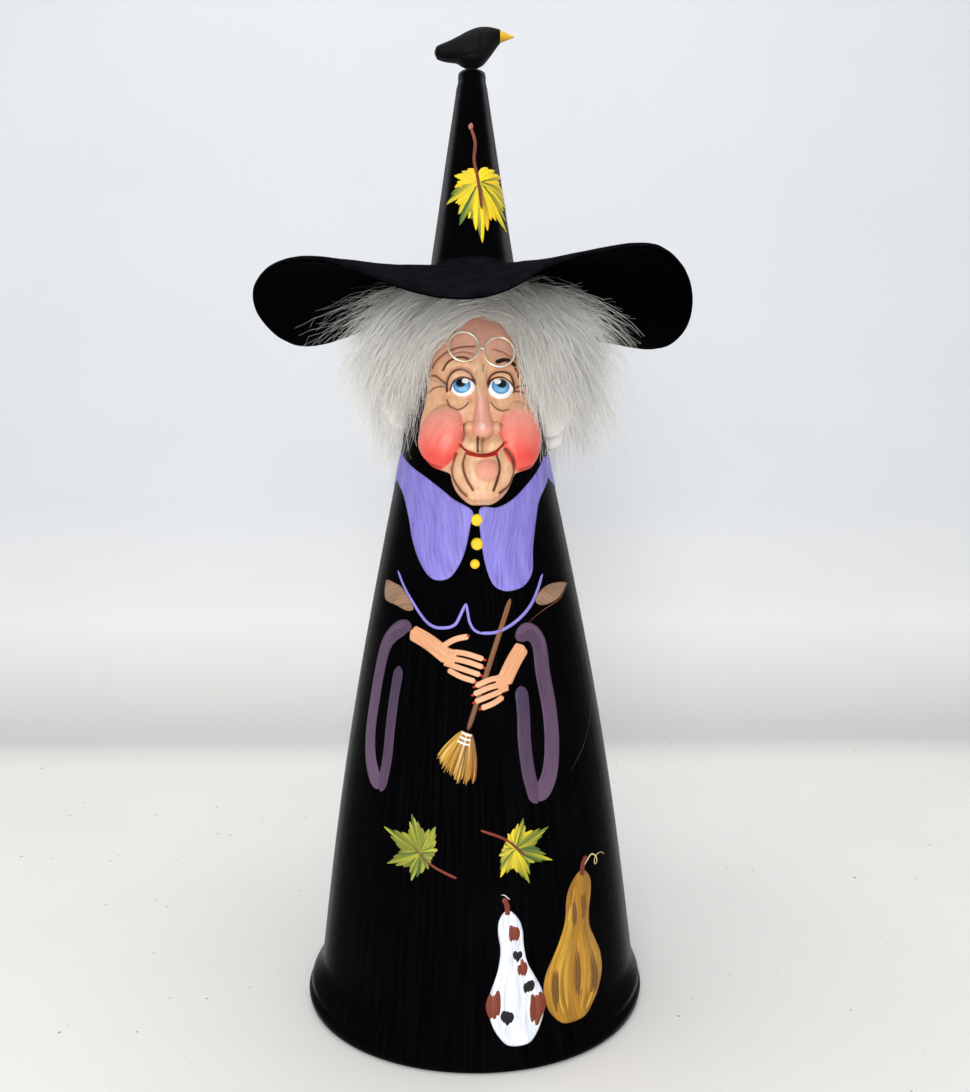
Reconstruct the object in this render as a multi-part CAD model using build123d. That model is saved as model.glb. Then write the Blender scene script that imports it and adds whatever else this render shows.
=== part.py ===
from build123d import *
import os
from math import asin, atan2, cos, degrees, hypot, pi, radians, sin, sqrt

# Painted witch figure. Millimetres, +Z up, floor at z = 0, the witch faces -Y and
# +X is on the viewer's right. The gown and the crown of the hat are one tall cone;
# the wavy brim slips down over it and a crow turns on a pin at its tip.

# ---- cone, gown and foot ----
cone_height = 361.5
foot_radius = 63.4
tip_radius = 4.6
belly = 1.8
waist = 2.2
canvas = 0.8
card = 1.6
glue = 0.1
board_thickness = 6.0
roll_height = 14.0
roll_radius = 65.4
roll_undercut = 1.8

# ---- tip plug ----
plug_depth = 20.0
plug_dome = 1.5

# ---- face ----
face_turn = 5.0
face_bottom = 192.3
face_height = 75.7
face_top = face_bottom + face_height
face_half_width = 21.5
mask = 2.0
seat = 0.4
eye_height = face_bottom + 0.568 * face_height
eye_spacing = 14.0
eye_size = (4.3, 1.7, 3.4)
cheek_height = face_bottom + 0.36 * face_height
cheek_azimuth = 30.0
cheek_size = (9.4, 5.8, 15.5)
nose_tip_height = face_bottom + 0.35 * face_height
nose_reach = 8.6
nose_bulb = (3.0, 3.2, 3.4)
nostril = 2.2
jaw_height = face_bottom + 0.161 * face_height
jaw_size = (11.2, 5.6, 12.2)
chin_ball = 2.7
mouth_height = face_bottom + 0.211 * face_height
mouth_width = 15.3
mouth_rise = 4.9
mouth_groove = 0.8

# ---- spectacles ----
lens_radius = 5.7
lens_spacing = 13.3
wire_radius = 0.45
wire_gap = 0.2
brow_gap = 0.3
spectacle_height = face_bottom + 0.756 * face_height
spectacle_turn = 7.4
spectacle_roll = 8.0
temple_azimuth = 60.0

# ---- hair ----
hair_gap = 0.4
hair_clump_gap = 0.6
side_hair_height = face_bottom + 0.657 * face_height
side_hair_forward = 9.0
side_hair_spread = 14.0
left_hair_reach = 36.0
left_hair_size = (22.0, 23.0, 39.0)
right_hair_reach = 41.0
right_hair_size = (23.0, 23.0, 41.0)
fringe_size = (7.0, 9.0)
fringe_azimuth = 75.0
back_hair_height = face_bottom + 0.67 * face_height
back_hair_size = (13.0, 37.0)
back_hair_azimuth = 112.0

# ---- brim ----
brim_radius = 85.0
brim_felt = 2.4
brim_over_face = 15.5
brim_seat = face_top + brim_over_face
brim_clearance = 0.3
brim_droop = 13.0
brim_sag = 1.5
brim_curl = 1.15
brim_waves = ((4.6, 13.3), (2.8, -66.1), (7.8, -0.1), (3.3, -3.7), (1.2, 16.4), (1.3, -2.8))

# ---- crow ----
crow_length = 25.8
crow_height = 15.5
crow_width = 10.2
crow_gap = 0.3
crow_neck = 2.0
beak_length = 5.6
pin_radius = 0.6
pin_clearance = 0.05
pin_depth = 10.0
pin_in_crow = 4.5


def gown_radius(z):
    """Radius of the painted gown and crown at a height."""
    t = z / cone_height
    straight = foot_radius + (tip_radius - foot_radius) * t
    return straight + belly * sin(pi * t) + waist * sin(2 * pi * t)


def side_curve(outset, bottom, top, stations=9):
    """The cone's side from bottom to top, moved out by outset."""
    heights = [bottom + (top - bottom) * i / (stations - 1) for i in range(stations)]
    return Spline([(gown_radius(z) + outset, 0, z) for z in heights])


def spin(edges):
    """Turn a closed outline in the XZ plane once round the axis."""
    return revolve(make_face(edges), Axis.Z)


def cone_core(outset, bottom, top):
    """Everything inside the cone's side moved out by outset."""
    side = side_curve(outset, bottom, top)
    return spin([
        side,
        Line(side @ 1, (0, 0, top)),
        Line((0, 0, top), (0, 0, bottom)),
        Line((0, 0, bottom), side @ 0),
    ])


def cone_wall(outer, inner, bottom, top):
    """A wall between two outsets of the cone's side."""
    outside = side_curve(outer, bottom, top)
    inside = side_curve(inner, bottom, top)
    return spin([
        outside,
        Line(outside @ 1, inside @ 1),
        inside,
        Line(inside @ 0, outside @ 0),
    ])


def base_board():
    """Wooden disc glued into the foot of the card cone."""
    return cone_core(-canvas - glue - card - glue, 0, board_thickness)


def core_cone():
    """Rolled card cone that carries everything."""
    outer = -canvas - glue
    return cone_wall(outer, outer - card, 0, cone_height)


def gown_cover():
    """Painted canvas skin of the gown and the hat's crown."""
    return cone_wall(0, -canvas, roll_height + glue, cone_height)


def foot_roll():
    """Rolled canvas hem that bulges round the foot."""
    inner = side_curve(-canvas, 0, roll_height, 3)
    top = (gown_radius(roll_height), 0, roll_height)
    foot = (roll_radius - roll_undercut, 0, 0)
    bulge = Spline([top, (roll_radius, 0, 0.45 * roll_height), foot])
    return spin([
        inner,
        Line(inner @ 1, top),
        bulge,
        Line(foot, inner @ 0),
    ])


def tip_plug():
    """Turned plug in the cone's open tip, domed on top and bored for the crow's pin."""
    inner = -canvas - glue - card - glue
    stem = cone_core(inner, cone_height - plug_depth, cone_height)
    head_radius = gown_radius(cone_height)
    dome = spin([
        Line((0, 0, cone_height), (head_radius, 0, cone_height)),
        ThreePointArc(
            (head_radius, 0, cone_height),
            (0.75 * head_radius, 0, cone_height + 0.6 * plug_dome),
            (0, 0, cone_height + plug_dome),
        ),
        Line((0, 0, cone_height + plug_dome), (0, 0, cone_height)),
    ])
    top = cone_height + plug_dome
    bore = Cylinder(pin_radius + pin_clearance, pin_depth + plug_dome + 1,
                    align=(Align.CENTER, Align.CENTER, Align.MAX))
    return stem + dome - Pos(0, 0, top + 1) * bore


# ---------------------------------------------------------------- face

def lean(z):
    """How far the cone's side leans back at a height, in degrees."""
    return degrees(atan2(gown_radius(z - 1) - gown_radius(z + 1), 2))


def on_gown(azimuth, z, relief):
    """A place on the gown: its -Y looks out of the surface, its Z climbs it."""
    return Rot(0, 0, azimuth) * Pos(0, -gown_radius(z) - relief, z) * Rot(-lean(z), 0, 0)


def azimuth_at(x, z, relief=0.0):
    """Azimuth, in degrees, of a point x to the side of the middle."""
    return degrees(asin(x / (gown_radius(z) + relief)))


def lump(azimuth, z, relief, size):
    """An ellipsoid seated on the gown; size is half width, half depth, half height."""
    return on_gown(azimuth, z, relief) * scale(Sphere(1), by=size)


def both_sides(x, z, relief, size):
    """The same lump left and right of the nose."""
    side = azimuth_at(x, z, relief)
    return [lump(-side, z, relief, size), lump(side, z, relief, size)]


def face_outline(grow=0.0):
    """Egg-shaped edge of the face, wide at the cheeks and narrow at the chin."""
    low = face_bottom - grow
    height = face_top + grow - low
    shares = [(0.42, 0.03), (0.74, 0.11), (0.93, 0.20), (1.0, 0.36), (0.93, 0.60), (0.92, 0.80), (0.6, 0.95)]
    half = [(0, low)]
    half += [(wide * face_half_width + grow, low + high * height) for wide, high in shares]
    half += [(0, low + height)]
    right = Spline(half, tangents=[(1, 0), (-1, 0)])
    outline = make_face([right, mirror(right, Plane.YZ)])
    return extrude(Plane.XZ * outline, 2 * foot_radius)


def on_jaw(x, z):
    """Point of the jaw's surface straight in front of a place, or of the blank beside it."""
    wide, deep, high = jaw_size
    left_over = 1 - (x / wide) ** 2 - ((z - jaw_height) / high) ** 2
    relief = max(mask, seat + deep * sqrt(max(0.0, left_over)))
    return (x, -sqrt((gown_radius(z) + relief) ** 2 - x ** 2), z)


def mouth_path():
    """Smile line over the jaw, corner to corner."""
    places = [mouth_width / 2 * share for share in (-1, -0.6, 0, 0.6, 1)]
    return Spline([on_jaw(x, mouth_height + mouth_rise * (2 * x / mouth_width) ** 2) for x in places])


def cheeks(grow=0.0):
    """Full round cheeks."""
    size = tuple(half + grow for half in cheek_size)
    return [lump(side * cheek_azimuth, cheek_height, seat, size) for side in (-1, 1)]


def nose():
    """Long nose, narrow at the bridge, with a round tip and two wings."""
    bridge = spectacle_height - lens_radius - wire_radius - wire_gap
    middle = nose_tip_height + 0.45 * (bridge - nose_tip_height)
    ridge = loft([
        on_gown(0, bridge, mask - 1.2) * Ellipse(0.45 * nose_bulb[0], 1.6),
        on_gown(0, middle, mask - 0.4) * Ellipse(1.2 * nose_bulb[0], 0.42 * nose_reach),
        on_gown(0, nose_tip_height + 1, mask - 0.2) * Ellipse(1.1 * nose_bulb[0], 0.72 * nose_reach),
    ])
    tip = lump(0, nose_tip_height, nose_reach - nose_bulb[1], nose_bulb)
    wings = both_sides(1.2 * nose_bulb[0], nose_tip_height + 0.3, 3.4, (0.8 * nostril, nostril, nostril))
    return [ridge, tip, *wings]


def eyes():
    """Eyeballs between a brow above and a fold of skin below."""
    half = eye_spacing / 2
    wide, deep, high = eye_size
    brow = spectacle_height - lens_radius - wire_radius - brow_gap - 0.5 * high
    return [
        *both_sides(half, eye_height, mask - 0.5, eye_size),
        *both_sides(half, eye_height - 1.45 * high, mask - 0.4, (1.05 * wide, 0.7 * deep, 0.45 * high)),
        *both_sides(half, brow, mask - 0.7, (1.4 * wide, 0.8 * deep, 0.5 * high)),
    ]


def face():
    """Modelled face: a thin egg of clay on the cone with its features raised on it."""
    blank = face_outline() & cone_core(mask, face_bottom - 1, face_top + 1)
    lip_height = (nose_tip_height + mouth_height) / 2 + 1
    features = [
        *cheeks(),
        lump(0, jaw_height, seat, jaw_size),
        lump(0, lip_height, 1.4, (0.58 * jaw_size[0], 0.65 * jaw_size[1], 0.42 * jaw_size[2])),
        lump(0, mouth_height - mouth_groove - chin_ball, jaw_size[1] - 0.7, (chin_ball,) * 3),
        *nose(),
        *eyes(),
    ]
    solid = blank.fuse(*[part for shape in features for part in shape.solids()])
    path = mouth_path()
    solid = solid - sweep(Plane(path @ 0, z_dir=path % 0) * Circle(mouth_groove), path=path)
    inside = cone_core(glue, face_bottom - face_half_width, face_top + face_half_width)
    return Rot(0, 0, face_turn) * (solid - inside)


# ---------------------------------------------------------------- spectacles

def spectacle_place():
    """Middle of the bridge of the spectacles, pushed up on the forehead."""
    relief = mask + wire_radius + wire_gap
    return on_gown(spectacle_turn, spectacle_height, relief) * Rot(0, spectacle_roll, 0)


def bent_wire(path):
    """Wire along an arc of less than half a turn."""
    first = path @ 0 - path.arc_center
    halfway = path @ 0.5 - path.arc_center
    axis = Axis(path.arc_center, first.cross(halfway))
    section = Plane(path @ 0, z_dir=path % 0) * Circle(wire_radius)
    return revolve(section, axis, degrees(path.length / path.radius))


def temple(side):
    """One wire arm, from the outer edge of its loop back round the head."""
    place = spectacle_place()
    start = (place * Pos(side * (lens_spacing / 2 + lens_radius - wire_radius), 0, 0)).position
    reach = gown_radius(spectacle_height) + mask + wire_radius + wire_gap
    z = start.Z + 2.0
    points = [start]
    first = degrees(atan2(start.X, -start.Y))
    last = spectacle_turn + side * temple_azimuth
    for step, clear in ((0.5, 2 * wire_radius), (1.0, wire_gap)):
        azimuth = radians(first + (last - first) * step)
        points.append(Vector((reach + clear) * sin(azimuth), -(reach + clear) * cos(azimuth), z))
    return bent_wire(ThreePointArc(*points))


def spectacles():
    """Bent-wire spectacles: two loops, a bridge and two arms."""
    place = spectacle_place()
    ring = Rot(90, 0, 0) * Torus(lens_radius, wire_radius)
    half = lens_spacing / 2
    gap = half - lens_radius
    bar = bent_wire(ThreePointArc((-gap, 0, 0), (0, 0, 0.5 * gap), (gap, 0, 0)))
    rings = place * (Pos(-half, 0, 0) * ring + Pos(half, 0, 0) * ring + bar)
    return rings + temple(-1) + temple(1)


# ---------------------------------------------------------------- brim

def brim_hole():
    """Radius of the hole in the brim at its seat."""
    return gown_radius(brim_seat - brim_felt) + brim_clearance


def brim_top(x, y):
    """Height of the brim's upper face over a point."""
    azimuth = degrees(atan2(x, -y))
    hole = brim_hole()
    share = max(0.0, (hypot(x, y) - hole) / (brim_radius - hole))
    droop = brim_droop
    for order, (depth, turn) in enumerate(brim_waves, start=1):
        droop += depth * cos(radians(order * (azimuth - turn)))
    return brim_seat - droop * share ** brim_curl - brim_sag * sin(pi * min(share, 1))


def brim_sheet(below):
    """The brim's upper face as one smooth sheet, lowered by below."""
    reach = brim_radius + 4
    count = 30
    steps = [-reach + 2 * reach * i / count for i in range(count + 1)]
    grid = [[Vector(x, y, brim_top(x, y) - below) for y in steps] for x in steps]
    return Face.make_surface_from_array_of_points(grid, tol=0.05)


def hat_brim():
    """Wavy felt brim, a ring that drops over the crown and rests on its taper."""
    felt = extrude(brim_sheet(0), brim_felt, dir=(0, 0, -1))
    disc = Pos(0, 0, brim_seat) * Cylinder(brim_radius, 4 * brim_droop + 4 * brim_felt)
    hole = Cylinder(brim_hole(), 8 * brim_droop + 8 * brim_felt)
    return (felt & disc) - Pos(0, 0, brim_seat) * hole


# ---------------------------------------------------------------- hair

def side_lump(side, grow=0.0):
    """Cloud of wool at one side of the head, wider towards the brim."""
    reach, size = (right_hair_reach, right_hair_size) if side > 0 else (left_hair_reach, left_hair_size)
    grown = tuple(half + grow for half in size)
    place = Pos(side * reach, -side_hair_forward, side_hair_height)
    return place * Rot(0, side * side_hair_spread, 0) * scale(Sphere(1), by=grown)


def trim_hair(wool):
    """Cut wool clear of the cone, the face, the spectacles and the brim."""
    wool = wool - cone_core(hair_gap, face_bottom - face_height, brim_seat)
    turned = Rot(0, 0, face_turn)
    blank = face_outline(2 * hair_gap) & cone_core(mask + hair_gap, face_bottom - 2, face_top + 2)
    for shape in (blank, *cheeks(hair_gap)):
        wool = wool - turned * shape
    reach = mask + 4 * wire_radius + 2 * wire_gap + hair_gap
    half = 1.4 * lens_radius
    band = cone_core(reach, spectacle_height - half, spectacle_height + half)
    front = turned * Pos(0, -foot_radius / 2 - 3 * mask, spectacle_height) * Box(2 * foot_radius, foot_radius, 4 * half)
    wool = wool - (band & front)
    return wool - extrude(brim_sheet(brim_felt + hair_gap), brim_radius, dir=(0, 0, 1))


def hair_side(side):
    """One side's wool, trimmed to the head and the brim."""
    return trim_hair(side_lump(side))


def ring_of_hair(size, z, first, last):
    """Wool lying round the head between two azimuths, clear of the side clouds."""
    centre = gown_radius(z) + 0.55 * size[0]
    section = Plane.XZ * Pos(centre, z) * Ellipse(*size)
    wool = Rot(0, 0, first - 90) * revolve(section, Axis.Z, last - first)
    for side in (-1, 1):
        wool = wool - side_lump(side, hair_clump_gap)
    return trim_hair(wool)


def hair_fringe():
    """Thin wool over the top of the forehead."""
    return ring_of_hair(fringe_size, face_top, face_turn - fringe_azimuth, face_turn + fringe_azimuth)


def hair_back():
    """Wool down the back of the head."""
    first = face_turn + back_hair_azimuth
    return ring_of_hair(back_hair_size, back_hair_height, first, face_turn + 360 - back_hair_azimuth)


# ---------------------------------------------------------------- crow

def crow_base():
    """Height of the crow's underside, just above the plug."""
    return cone_height + plug_dome + crow_gap


def crow_shape():
    """Crow's body as rings along X: place, height of centre, half height, half width."""
    long = crow_length
    tall = crow_height
    wide = crow_width / 2
    foot = crow_base()
    return [
        (-0.57 * long, foot + 0.45 * tall, 0.07 * tall, 0.30 * wide),
        (-0.43 * long, foot + 0.43 * tall, 0.17 * tall, 0.50 * wide),
        (-0.23 * long, foot + 0.51 * tall, 0.27 * tall, 0.76 * wide),
        (-0.03 * long, foot + 0.57 * tall, 0.37 * tall, 0.96 * wide),
        (0.16 * long, foot + 0.66 * tall, 0.39 * tall, wide),
        (0.31 * long, foot + 0.75 * tall, 0.29 * tall, 0.82 * wide),
        (0.43 * long, foot + 0.84 * tall, 0.15 * tall, 0.46 * wide),
    ]


def crow_bore():
    """Hole for the pin up into the crow."""
    return Pos(0, 0, crow_base() - 1) * Cylinder(
        pin_radius + pin_clearance, pin_in_crow + 1,
        align=(Align.CENTER, Align.CENTER, Align.MIN))


def crow_body():
    """Modelled crow without its beak, narrowed to a foot over the plug."""
    rings = [
        Pos(x, 0, z) * (Plane.YZ * Ellipse(wide, tall))
        for x, z, tall, wide in crow_shape()
    ]
    body = loft(rings)
    middle = crow_base() + 0.5 * crow_height
    foot = Pos(0, 0, crow_base()) * Cone(
        crow_neck, 0.36 * crow_width, middle - crow_base(),
        align=(Align.CENTER, Align.CENTER, Align.MIN))
    return body + foot - crow_bore()


def crow_beak():
    """Pointed beak on the front of the head."""
    x, z, tall, wide = crow_shape()[-1]
    root = Pos(x, 0, z) * (Plane.YZ * Ellipse(wide, tall))
    tip = Pos(x + beak_length, 0, z - 0.1 * tall) * (Plane.YZ * Circle(0.1 * wide))
    return loft([root, tip])


def crow_pin():
    """Wire pin that holds the crow on the tip and lets it turn."""
    bottom = cone_height - pin_depth + 1
    top = crow_base() + pin_in_crow
    return Pos(0, 0, bottom) * Cylinder(
        pin_radius, top - bottom, align=(Align.CENTER, Align.CENTER, Align.MIN))


def build():
    """Every piece by the name of its node."""
    return {
        "base_board": base_board(),
        "core_cone": core_cone(),
        "gown_cover": gown_cover(),
        "foot_roll": foot_roll(),
        "tip_plug": tip_plug(),
        "face": face(),
        "spectacles": spectacles(),
        "hair_left": hair_side(-1),
        "hair_right": hair_side(1),
        "hair_fringe": hair_fringe(),
        "hair_back": hair_back(),
        "hat_brim": hat_brim(),
        "crow_pin": crow_pin(),
        "crow_body": crow_body(),
        "crow_beak": crow_beak(),
    }


os.makedirs("parts", exist_ok=True)
for name, piece in build().items():
    piece.label = name
    export_step(piece, f"parts/{name}.step")
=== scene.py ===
import math
import random

import bmesh
import bpy
import numpy as np
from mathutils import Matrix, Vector
from mathutils.bvhtree import BVHTree
from mathutils.geometry import delaunay_2d_cdt


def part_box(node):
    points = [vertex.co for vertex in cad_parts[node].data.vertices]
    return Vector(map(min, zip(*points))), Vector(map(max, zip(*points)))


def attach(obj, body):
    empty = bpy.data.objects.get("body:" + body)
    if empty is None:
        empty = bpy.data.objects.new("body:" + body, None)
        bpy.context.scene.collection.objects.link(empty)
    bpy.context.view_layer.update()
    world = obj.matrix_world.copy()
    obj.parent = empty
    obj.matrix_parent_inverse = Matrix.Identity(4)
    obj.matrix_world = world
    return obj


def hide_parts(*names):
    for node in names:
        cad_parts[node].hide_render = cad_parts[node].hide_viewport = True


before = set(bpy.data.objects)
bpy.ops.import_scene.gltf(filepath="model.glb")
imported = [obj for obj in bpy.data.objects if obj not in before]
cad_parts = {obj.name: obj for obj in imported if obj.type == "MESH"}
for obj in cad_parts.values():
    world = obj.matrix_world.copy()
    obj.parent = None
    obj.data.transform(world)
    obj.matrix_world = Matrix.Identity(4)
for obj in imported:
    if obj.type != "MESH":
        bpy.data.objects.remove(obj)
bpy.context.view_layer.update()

# Lengths in the dictionaries are millimetres, angles degrees, colours as seen on screen (0 to 255)
metre = 0.001
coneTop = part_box("gown_cover")[1].z / metre
scene = bpy.context.scene


def rgb(red, green, blue):
    shares = (red / 255, green / 255, blue / 255)
    return tuple(s / 12.92 if s <= 0.04045 else ((s + 0.055) / 1.055) ** 2.4 for s in shares) + (1.0,)


def toneOf(table, tone):
    # a colour by its name in the piece's dictionary, or as three numbers
    return np.array(rgb(*(table[tone] if isinstance(tone, str) else tone)))


def smoothStep(low, high, value):
    t = np.clip((value - low) / (high - low), 0, 1)
    return t * t * (3 - 2 * t)


def makeObject(name, points, faces, material=None, edges=()):
    mesh = bpy.data.meshes.new(name)
    mesh.from_pydata([tuple(p) for p in points], edges, faces)
    if material:
        mesh.materials.append(material)
    mesh.polygons.foreach_set("use_smooth", [True] * len(mesh.polygons))
    mesh.update()
    made = bpy.data.objects.new(name, mesh)
    scene.collection.objects.link(made)
    return made


def ringFaces(rows, count, closed=True):
    # four-sided faces between neighbouring rows of points
    faces = []
    for a in range(0, (rows - 1) * count, count):
        b = a + count
        for i in range(count if closed else count - 1):
            j = (i + 1) % count
            faces.append((a + i, a + j, b + j, b + i))
    return faces


def keepValues(made, label, kind, values):
    kept = made.data.attributes.new(label, kind, "POINT").data
    kept.foreach_set("color" if kind == "FLOAT_COLOR" else "value", np.asarray(values, np.float32).ravel())


def settle(made):
    # turns what the modifiers give into the piece's own mesh
    graph = bpy.context.evaluated_depsgraph_get()
    mesh = bpy.data.meshes.new_from_object(made.evaluated_get(graph))
    made.modifiers.clear()
    old = made.data
    made.data = mesh
    if isinstance(old, bpy.types.Mesh):
        bpy.data.meshes.remove(old)
    return made


def faceOutwards(made):
    work = bmesh.new()
    work.from_mesh(made.data)
    bmesh.ops.remove_doubles(work, verts=work.verts, dist=0.00001)
    bmesh.ops.recalc_face_normals(work, faces=work.faces)
    work.to_mesh(made.data)
    work.free()
    made.data.update()


def treeOf(made):
    mesh = made.data
    return BVHTree.FromPolygons([v.co.copy() for v in mesh.vertices], [tuple(p.vertices) for p in mesh.polygons])


def give(node, inputs):
    # joins sockets and sets plain values, by the input's name or number
    for key, value in inputs.items():
        if isinstance(value, bpy.types.NodeSocket):
            node.id_data.links.new(value, node.inputs[key])
        elif value is not None:
            node.inputs[key].default_value = value
    return node


def addNode(tree, kind, inputs=None, **settings):
    made = tree.nodes.new(kind)
    for key, value in settings.items():
        setattr(made, key, value)
    return give(made, inputs or {})


def newMaterial(name):
    # gives the material, its shader and the piece's own coordinates
    material = bpy.data.materials.new(name)
    material.use_nodes = True
    tree = material.node_tree
    tree.nodes.clear()
    shader = tree.nodes.new("ShaderNodeBsdfPrincipled")
    addNode(tree, "ShaderNodeOutputMaterial", {0: shader.outputs[0]})
    return material, shader, addNode(tree, "ShaderNodeTexCoord").outputs["Object"]


def treeWith(*values):
    return next(value.id_data for value in values if isinstance(value, bpy.types.NodeSocket))


def calc(operation, a, b=0.0, c=0.0):
    return addNode(treeWith(a, b, c), "ShaderNodeMath", {0: a, 1: b, 2: c}, operation=operation).outputs[0]


def times(first, *others):
    for other in others:
        first = calc("MULTIPLY", first, other)
    return first


def plus(a, b):
    return calc("ADD", a, b)


def minus(a, b):
    return calc("SUBTRACT", a, b)


def timesPlus(a, b, c):
    return calc("MULTIPLY_ADD", a, b, c)


def vectorCalc(operation, a, b=None, scale=None):
    made = addNode(a.id_data, "ShaderNodeVectorMath", {0: a, 1: b, 3: scale}, operation=operation)
    return made.outputs["Value" if operation in ("DOT_PRODUCT", "LENGTH") else 0]


def joined(x, y, z=0.0):
    return addNode(treeWith(x, y, z), "ShaderNodeCombineXYZ", {0: x, 1: y, 2: z}).outputs[0]


def parted(vector):
    return addNode(vector.id_data, "ShaderNodeSeparateXYZ", {0: vector}).outputs


def noiseAt(vector, scale, detail, kind="Fac", rough=None):
    inputs = {"Vector": vector, "Scale": scale, "Detail": detail, "Roughness": rough}
    return addNode(vector.id_data, "ShaderNodeTexNoise", inputs).outputs[kind]


def noiseOf(place, scale, detail, rough=0.5, stretch=(1, 1, 1)):
    mapped = addNode(place.id_data, "ShaderNodeMapping", {"Vector": place, "Scale": stretch})
    return noiseAt(mapped.outputs[0], scale, detail, "Fac", rough)


def rangeOf(value, low, high, newLow=0.0, newHigh=1.0):
    inputs = {"Value": value, "From Min": low, "From Max": high, "To Min": newLow, "To Max": newHigh}
    return addNode(value.id_data, "ShaderNodeMapRange", inputs).outputs[0]


def mixColour(share, first, second, blend="MIX"):
    first, second = (rgb(*tone) if isinstance(tone, tuple) else tone for tone in (first, second))
    made = addNode(treeWith(share, first, second), "ShaderNodeMix", {}, data_type="RGBA", blend_type=blend)
    return give(made, {0: share, 6: first, 7: second}).outputs[2]


def bumpOf(height, distance, strength, normal=None):
    inputs = {"Height": height, "Distance": distance, "Strength": strength, "Normal": normal}
    return addNode(height.id_data, "ShaderNodeBump", inputs).outputs[0]


def attributeOf(shader, label):
    return addNode(shader.id_data, "ShaderNodeAttribute", attribute_name=label).outputs["Fac"]


def paintOf(shader, light):
    # the paint laid on the piece, lighter and darker along its brush marks
    tint = addNode(shader.id_data, "ShaderNodeVertexColor", layer_name="paint").outputs["Color"]
    return mixColour(1.0, tint, joined(light, light, light), "MULTIPLY")


view = {
    "place": (4.1, -368.0, 186.8),   # eye, from the middle of the foot
    "tilt": 1.72,                    # looks this far down
    "roll": 0.36,
    "halfHeight": 30.69,             # half of the angle over the picture's long side
    "floorColour": (243, 240, 235),
    "wallColour": (222, 224, 227),
    "bendShade": (200, 199, 196), "cloudTone": (200, 198, 192), "speckTone": (168, 158, 142),
    "underLampShade": (128, 127, 125),     # painted shade on the floor under the front lamp, where its light is strongest
    "wallBehind": 420.0, "floorSize": 3000.0, "bend": 120.0,
    "skyTone": (0.93, 0.96, 1.0, 1), "skyStrength": 0.62,
}

lamps = {
    # width, watts, place and what it looks at, in metres
    "soft front": (0.5, 7.0, (-0.08, -1.06, 0.28), (0, 0, 0.23)),
    "soft top": (1.0, 4.9, (-0.08, -0.3, 1.25), (0, 0, 0.1)),
}


def makeCamera():
    data = bpy.data.cameras.new("camera")
    data.sensor_width = 36
    data.lens = data.sensor_width / 2 / math.tan(math.radians(view["halfHeight"]))
    data.clip_start = 0.01
    camera = bpy.data.objects.new("camera", data)
    scene.collection.objects.link(camera)
    camera.location = [value * metre for value in view["place"]]
    camera.rotation_euler = (math.radians(90 - view["tilt"]), math.radians(view["roll"]), 0)
    scene.camera = camera


def makeStage():
    # floor that sweeps up into a wall
    half = view["floorSize"] / 2 * metre
    back = view["wallBehind"] * metre
    bend = view["bend"] * metre
    profile = [(-half, 0.0)]
    for step in range(13):
        angle = math.pi / 2 * step / 12
        profile.append((back - bend + bend * math.sin(angle), bend - bend * math.cos(angle)))
    profile.append((back, half))
    points = [(x, y, z) for y, z in profile for x in (-half, half)]
    material, shader, place = newMaterial("paleSweep")
    height = parted(place)["Z"]
    base = mixColour(rangeOf(height, 0.0, 0.2), view["floorColour"], view["wallColour"])
    # painted shade: a darker band along the bend between floor and wall
    bent = times(rangeOf(height, 0.0, 0.012), rangeOf(height, 0.1, 0.02), 0.9)
    base = mixColour(bent, base, view["bendShade"])
    cloud = noiseOf(place, 9.0, 4)
    base = mixColour(rangeOf(cloud, 0.3, 0.7, 0, 0.08), base, view["cloudTone"])
    speck = times(rangeOf(noiseOf(place, 260.0, 1), 0.77, 0.8), rangeOf(height, 0.02, 0.0))
    base = mixColour(speck, base, view["speckTone"])
    # painted shade: the floor is painted darker near the front lamp
    away = vectorCalc("LENGTH", vectorCalc("SUBTRACT", place, (-0.08, -0.82, 0.0)))
    base = mixColour(rangeOf(away, 0.3, 0.75, 0.85, 0), base, view["underLampShade"])
    give(shader, {"Base Color": base, "Roughness": 0.8, "Specular IOR Level": 0.1})
    # the back of the wall is clear, so the piece is seen from behind too
    tree = material.node_tree
    clear = tree.nodes.new("ShaderNodeBsdfTransparent")
    behind = tree.nodes.new("ShaderNodeNewGeometry").outputs["Backfacing"]
    both = addNode(tree, "ShaderNodeMixShader", {0: behind, 1: shader.outputs[0], 2: clear.outputs[0]})
    give(tree.nodes["Material Output"], {0: both.outputs[0]})
    sweep = makeObject("sweep", points, ringFaces(len(profile), 2, closed=False), material)


def makeLight(name, size, power, place, target):
    data = bpy.data.lights.new(name, "AREA")
    data.shape = "DISK"
    data.size = size
    data.energy = power
    lamp = bpy.data.objects.new(name, data)
    scene.collection.objects.link(lamp)
    lamp.location = place
    lamp.rotation_euler = (Vector(target) - Vector(place)).to_track_quat("-Z", "Y").to_euler()


def makeWorld():
    world = bpy.data.worlds.new("studio")
    world.use_nodes = True
    give(world.node_tree.nodes["Background"], {"Color": view["skyTone"], "Strength": view["skyStrength"]})
    scene.world = world
    scene.view_settings.view_transform = "Standard"


makeCamera()
makeStage()
makeWorld()
for name, (size, power, spot, target) in lamps.items():
    makeLight(name, size, power, spot, target)
print("camera, floor and light are up")


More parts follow.
